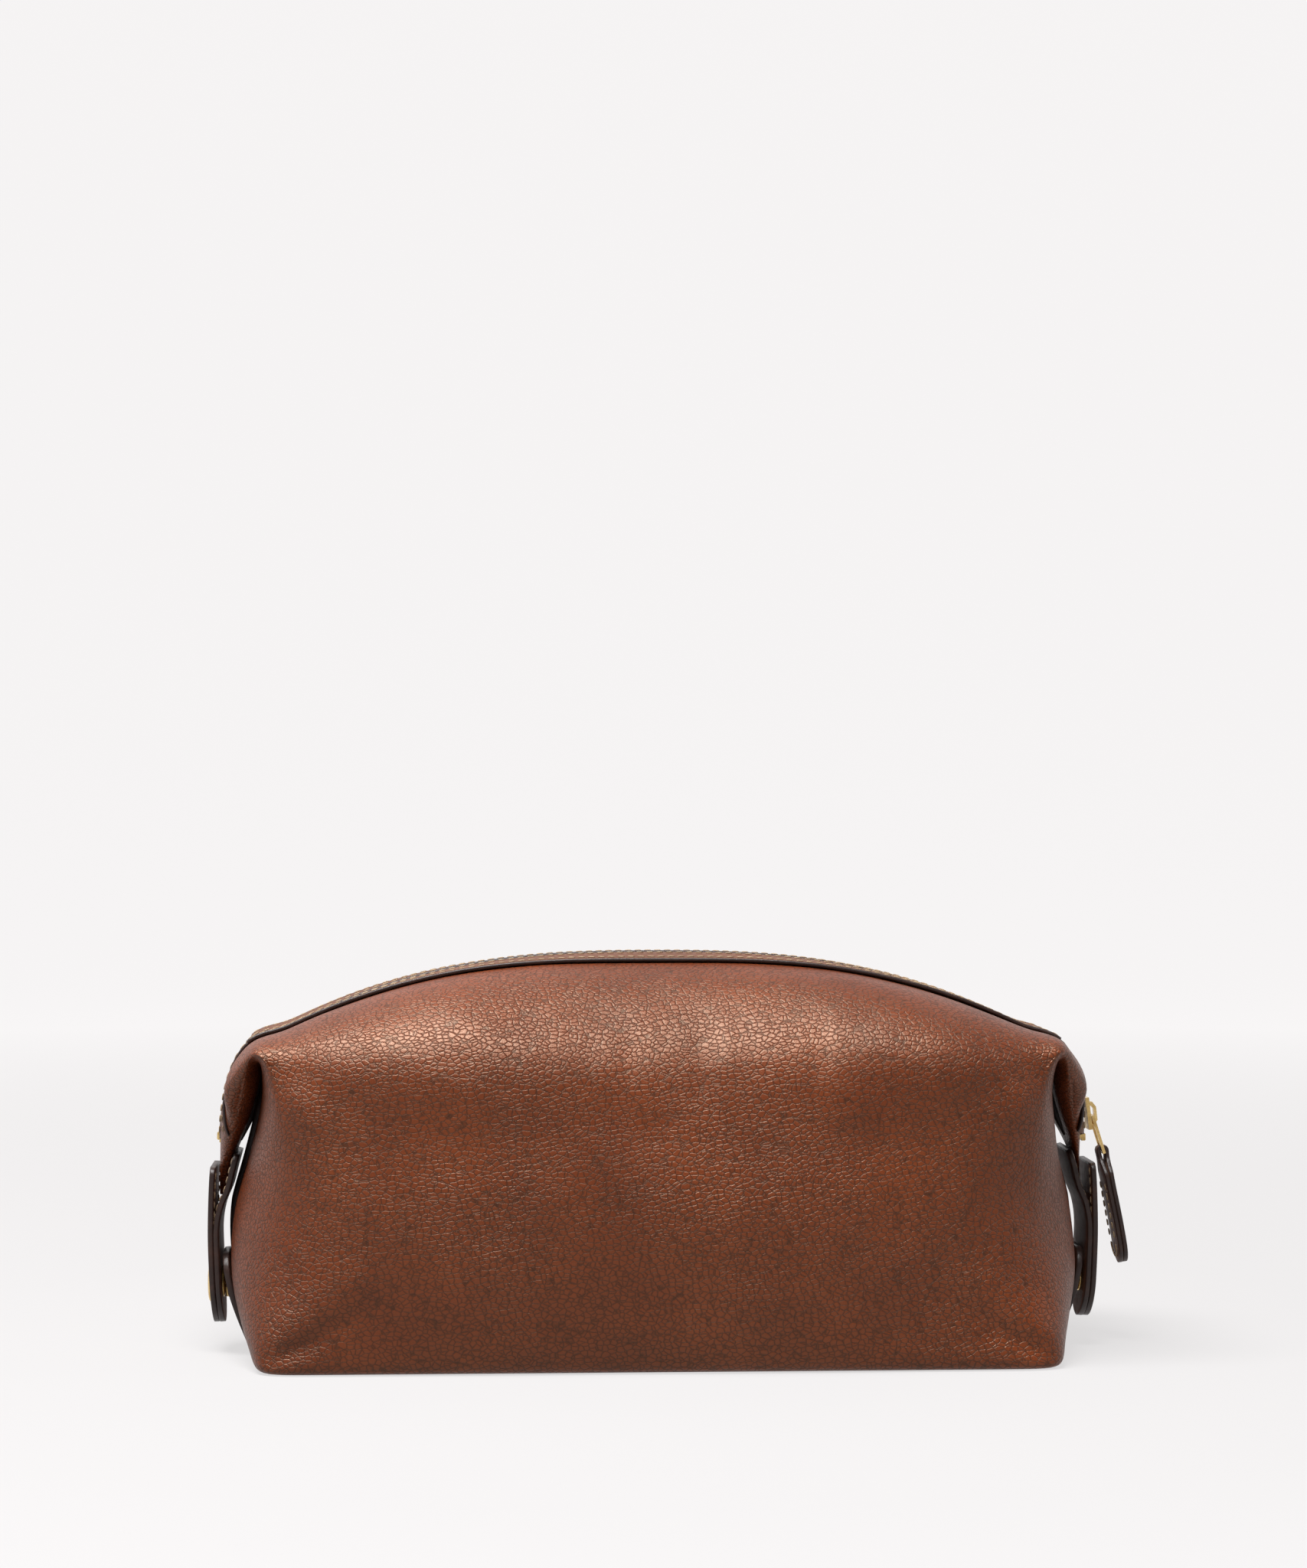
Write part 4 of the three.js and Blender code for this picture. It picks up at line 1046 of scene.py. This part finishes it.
CAP_SET_IN = 0.42
CAP_RADIUS = 6.0
CAP_RIM = 0.45
CAP_DOME = 0.85
CAP_PROFILE = [(0, 5.6), (0.15, 5.95), (CAP_RIM, CAP_RADIUS)]
CAP_PROFILE += [(CAP_RIM + CAP_DOME * math.sin(a), CAP_RADIUS * math.cos(a) ** 0.55)
                for a in np.linspace(0.15, 1.5, 12)]
SOCKET_PROFILE = [(-0.05, 2.4), (-0.05, 4.0), (0.1, 4.5), (0.75, 4.6)]
STUD_PROFILE = [(-0.9, 4.6), (0.1, 4.5), (0.25, 3.2), (0.45, 2.4), (0.6, 2.2), (0.65, 1.2)]


def build_snaps():
    for sx in (-1, 1):
        word = END_WORDS[sx]
        for node, profile, set_in, body in (("_snap_cap", CAP_PROFILE, CAP_SET_IN, EAR_BODIES[sx]),
                                            ("_snap_socket", SOCKET_PROFILE, 0.0, EAR_BODIES[sx]),
                                            ("_snap_stud", STUD_PROFILE, 0.0, TAB_BODIES[sx])):
            low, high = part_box(word + node)
            face = (low.x if sx > 0 else -high.x) / MM - set_in
            made = turned(word + node + "_brass", face, profile, sx)
            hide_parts(word + node)
            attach(made, body)


# ---- end seams
def seam_fin(name, v0, v1, proud, sx, nodes):
    """Two raw leather edges sewn together and painted, standing proud along the end's middle line."""
    count = 70
    vs = np.linspace(v0, v1, count)
    p, n = hide_frame(np.zeros(count), vs)
    lift = slack(place(p, sx, 1))
    p = p + n * lift[:, None]
    half = [(0.2, proud * 0.95), (0.75, proud), (1.3, proud * 0.93), (1.6, proud * 0.6), (1.65, -0.6)]
    outline = [(-y, h) for y, h in half[::-1]] + [(0.0, proud * 0.7)] + half
    points, faces = [], []
    for k in range(count):
        shrink = min(1.0, 3.0 * min(k, count - 1 - k) / count + 0.25)
        for y, h in outline:
            points.append([(p[k, 0] + n[k, 0] * h * shrink) * sx, y * (0.5 + 0.5 * shrink),
                           p[k, 2] + n[k, 2] * h * shrink])
    size = len(outline)
    for r in range(count - 1):
        for k in range(size - 1):
            face = [r * size + k, (r + 1) * size + k, (r + 1) * size + k + 1, r * size + k + 1]
            faces.append(face if sx > 0 else face[::-1])
    made = make_object(name, points, faces, [EDGE_LOOK])
    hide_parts(*nodes)
    return made


def build_seams():
    for sx in (-1, 1):
        word = END_WORDS[sx]
        fin = seam_fin(word + "_end_seam_edges", 4.35, 9.9, 1.5, sx, [word + "_end_seam"])
        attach(fin, BODY)
        fin = seam_fin(word + "_ear_seam_edges", 1.5, 3.6, 1.3, sx, [word + "_ear_seam"])
        bend_with_ear(fin)


# ---- slider, link and leather pull
SHARPEST_KEPT = math.radians(35)


def soften(node, width, segments, look):
    """Gives a CAD node its finish and eased edges."""
    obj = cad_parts[node]
    obj.data.materials.clear()
    obj.data.materials.append(look)
    bevel = obj.modifiers.new("eased_edges", "BEVEL")
    bevel.width = width * MM
    bevel.segments = segments
    bevel.limit_method = "ANGLE"
    bevel.angle_limit = SHARPEST_KEPT


PULL_LEAN = 0.18
PULL_LENGTH = 35.0
PULL_LAYER = 1.3
PULL_HALF_WIDTH = 6.0
PULL_NECK = 2.0
PULL_EYE_RADIUS = 1.35
# Distances down the pull, and how far it bows outward at each.
PULL_BOW = [(5, 0.0), (10, 0.1), (16, 0.25), (22, 0.35), (28, 0.3), (PULL_LENGTH - 1, 0.1)]


def pull_points(eye):
    """Centre lines of the front and back layers of the folded pull, from the link's bar down."""
    down = np.array([math.sin(PULL_LEAN), -math.cos(PULL_LEAN)])
    out = np.array([math.cos(PULL_LEAN), math.sin(PULL_LEAN)])
    loop = []
    for angle in np.linspace(0.5 * math.pi, -0.5 * math.pi, 9):
        loop.append(eye + out * PULL_EYE_RADIUS * math.sin(angle)
                    - down * PULL_EYE_RADIUS * math.cos(angle))
    front, back = [[eye + out * side * (1.15 - 0.45 * smooth(0, 8, d)) + down * d + out * b
                    for d, b in PULL_BOW] for side in (1, -1)]
    return loop, front, back


def build_pull():
    low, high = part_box("pull_link")
    eye = np.array([high.x / MM - 0.7, low.z / MM + 0.62])
    loop, front, back = pull_points(eye)
    line = back[::-1] + loop[::-1][1:-1] + front
    count = 130
    _, total, share, centre, normal = ribbon_rings(line, 500, count)
    outlines = []
    for d in share * total:
        neck = lerp(PULL_NECK, PULL_HALF_WIDTH, smooth(3.5, 9.5, abs(d - total / 2)))
        w = max(LEAST_HALF_WIDTH, neck - end_inset(min(d, total - d), PULL_HALF_WIDTH))
        outlines.append(rounded_profile(-w, w, -PULL_LAYER / 2, PULL_LAYER / 2, 0.38))
    made_points, faces = sweep(centre, normal, outlines)
    ring_slots = [{3: 0, 11: 2}.get(k, 1) for k in range(len(outlines[0]))]
    slots = ring_slots * (count - 1) + [1, 1]
    made = make_object("leather_pull_tab", made_points, faces, [STRAP_LOOK, EDGE_LOOK, FLESH_LOOK], slots)
    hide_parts("leather_pull")
    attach(made, "pull")
    down = np.array([math.sin(PULL_LEAN), -math.cos(PULL_LEAN)])
    middle = np.array([eye + down * d for d in np.linspace(0, PULL_LENGTH - 1, 400)])
    for face, lift in (("outer", 1.55), ("inner", -1.2)):
        sewn = ribbon_stitches("pull_stitches_" + face, (middle, PULL_LENGTH - 1), PULL_HALF_WIDTH,
                               -lift, 10.5, PULL_LENGTH - 3, 1.9, 1)
        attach(sewn, "pull")


# ---- lining
LINING_TOP_V = 5.2
LINING_FACES = ((-3.1, False), (-3.9, True))


def build_lining():
    us = np.linspace(0, LAST_COLUMN, 53)
    target = Surface()
    for sx, sy in QUARTERS:
        for offset, inside in LINING_FACES:
            u, v = np.meshgrid(us, np.linspace(LINING_TOP_V, BASE_V, 30), indexing="ij")
            p, n = hide_frame(u, v)
            soft = 0.35 * wave_sum(place(p, sx, sy), 34, 5)
            points = place(p + n * (offset + soft[..., None]), sx, sy)
            target.grid(points, place(n, sx, sy), (sx * sy < 0) != inside)
            base_fill(target, us, sx, sy, -offset, inside)
    made = target.build("cotton_lining", [LINING_LOOK], use_normals=False)
    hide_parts("lining")
    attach(made, BODY)


# ---- studio
NEAR_GLOW = 0.665
FAR_GLOW = 0.868
PAPER_REACH_M = 12.0
PAPER_BEND_M = 2.0
PAPER_RADIUS_M = 1.2
PAPER_TOP_M = 7.0
CAMERA_TURN = math.radians(3.0)
CAMERA_DISTANCE_M = 1.112
CAMERA_HEIGHT_M = 0.1689


def build_studio():
    n = Nodes("studio_paper")
    grain = n.noise(3.0, 2.0)
    tone = n.mix(grain, (0.088, 0.086, 0.086, 1), (0.092, 0.090, 0.090, 1))
    away = n.add("ShaderNodeVectorMath", {0: n.coords}, operation="LENGTH").outputs["Value"]
    front = n.add("ShaderNodeSeparateXYZ", {0: n.coords}).outputs["Y"]
    glow = n.span(away, 0.25, 1.5, NEAR_GLOW, FAR_GLOW)
    glow = n.math("MULTIPLY", glow, n.span(front, -1.1, -0.36, 0.55, 1.0))
    cool = n.math("MULTIPLY", glow, 0.982)
    light = n.add("ShaderNodeCombineColor", {0: glow, 1: cool, 2: cool}).outputs[0]
    paper = n.set(Base_Color=tone, Roughness=0.95, Specular_IOR_Level=0.0, Emission_Color=light,
                  Emission_Strength=1.0)
    points, faces = [], []
    profile = [(-PAPER_REACH_M, 0.0), (PAPER_BEND_M, 0.0)]
    profile += [(PAPER_BEND_M + PAPER_RADIUS_M * math.sin(a), PAPER_RADIUS_M - PAPER_RADIUS_M * math.cos(a))
                for a in np.linspace(0.1, math.pi / 2, 14)]
    profile += [(PAPER_BEND_M + PAPER_RADIUS_M, PAPER_TOP_M)]
    for x in (-PAPER_REACH_M, PAPER_REACH_M):
        for y, z in profile:
            points.append([x / MM, y / MM, z / MM])
    size = len(profile)
    for k in range(size - 1):
        faces.append([k, size + k, size + k + 1, k + 1])
    floor = make_object("studio_floor", points, faces, [paper])


def area_light(name, location, target, size, power, colour=(1, 1, 1)):
    data = bpy.data.lights.new(name, "AREA")
    data.shape = "RECTANGLE"
    data.size, data.size_y = size
    data.energy = power
    data.color = colour
    obj = bpy.data.objects.new(name, data)
    bpy.context.scene.collection.objects.link(obj)
    obj.location = location
    obj.rotation_euler = (Vector(target) - Vector(location)).to_track_quat("-Z", "Y").to_euler()


def build_lights():
    world = bpy.data.worlds.new("studio_world")
    bpy.context.scene.world = world
    world.use_nodes = True
    background = world.node_tree.nodes["Background"].inputs
    background["Color"].default_value = (1.0, 0.99, 0.99, 1)
    background["Strength"].default_value = 0.2
    area_light("top_softbox", (-0.25, -0.32, 1.06), (-0.02, 0, 0.06), (0.95, 0.34), 35.0)
    area_light("left_softbox", (-0.95, -0.35, 0.80), (0, 0, 0.07), (0.35, 0.45), 2.6)
    area_light("right_softbox", (1.15, -0.10, 0.65), (0, 0, 0.07), (0.3, 0.6), 2.2, (0.96, 0.97, 1.0))


def build_camera():
    data = bpy.data.cameras.new("photo_camera")
    data.lens = 85
    data.sensor_width = 36
    data.clip_start = 0.05
    camera = bpy.data.objects.new("photo_camera", data)
    bpy.context.scene.collection.objects.link(camera)
    camera.location = (-CAMERA_DISTANCE_M * math.sin(CAMERA_TURN),
                       -CAMERA_DISTANCE_M * math.cos(CAMERA_TURN), CAMERA_HEIGHT_M)
    camera.rotation_euler = (math.pi / 2, 0, -CAMERA_TURN)
    bpy.context.scene.camera = camera


build_body_leather()
build_ears()
build_zip_bands()
build_zip_trim()
build_straps()
build_snaps()
build_seams()
build_pull()
build_lining()
soften("slider_body", 0.28, 3, BRASS_LOOK)
soften("pull_link", 0.22, 3, BRASS_LOOK)
build_zip_stops()
build_studio()
build_lights()
build_camera()

bpy.context.scene.view_settings.view_transform = "Standard"
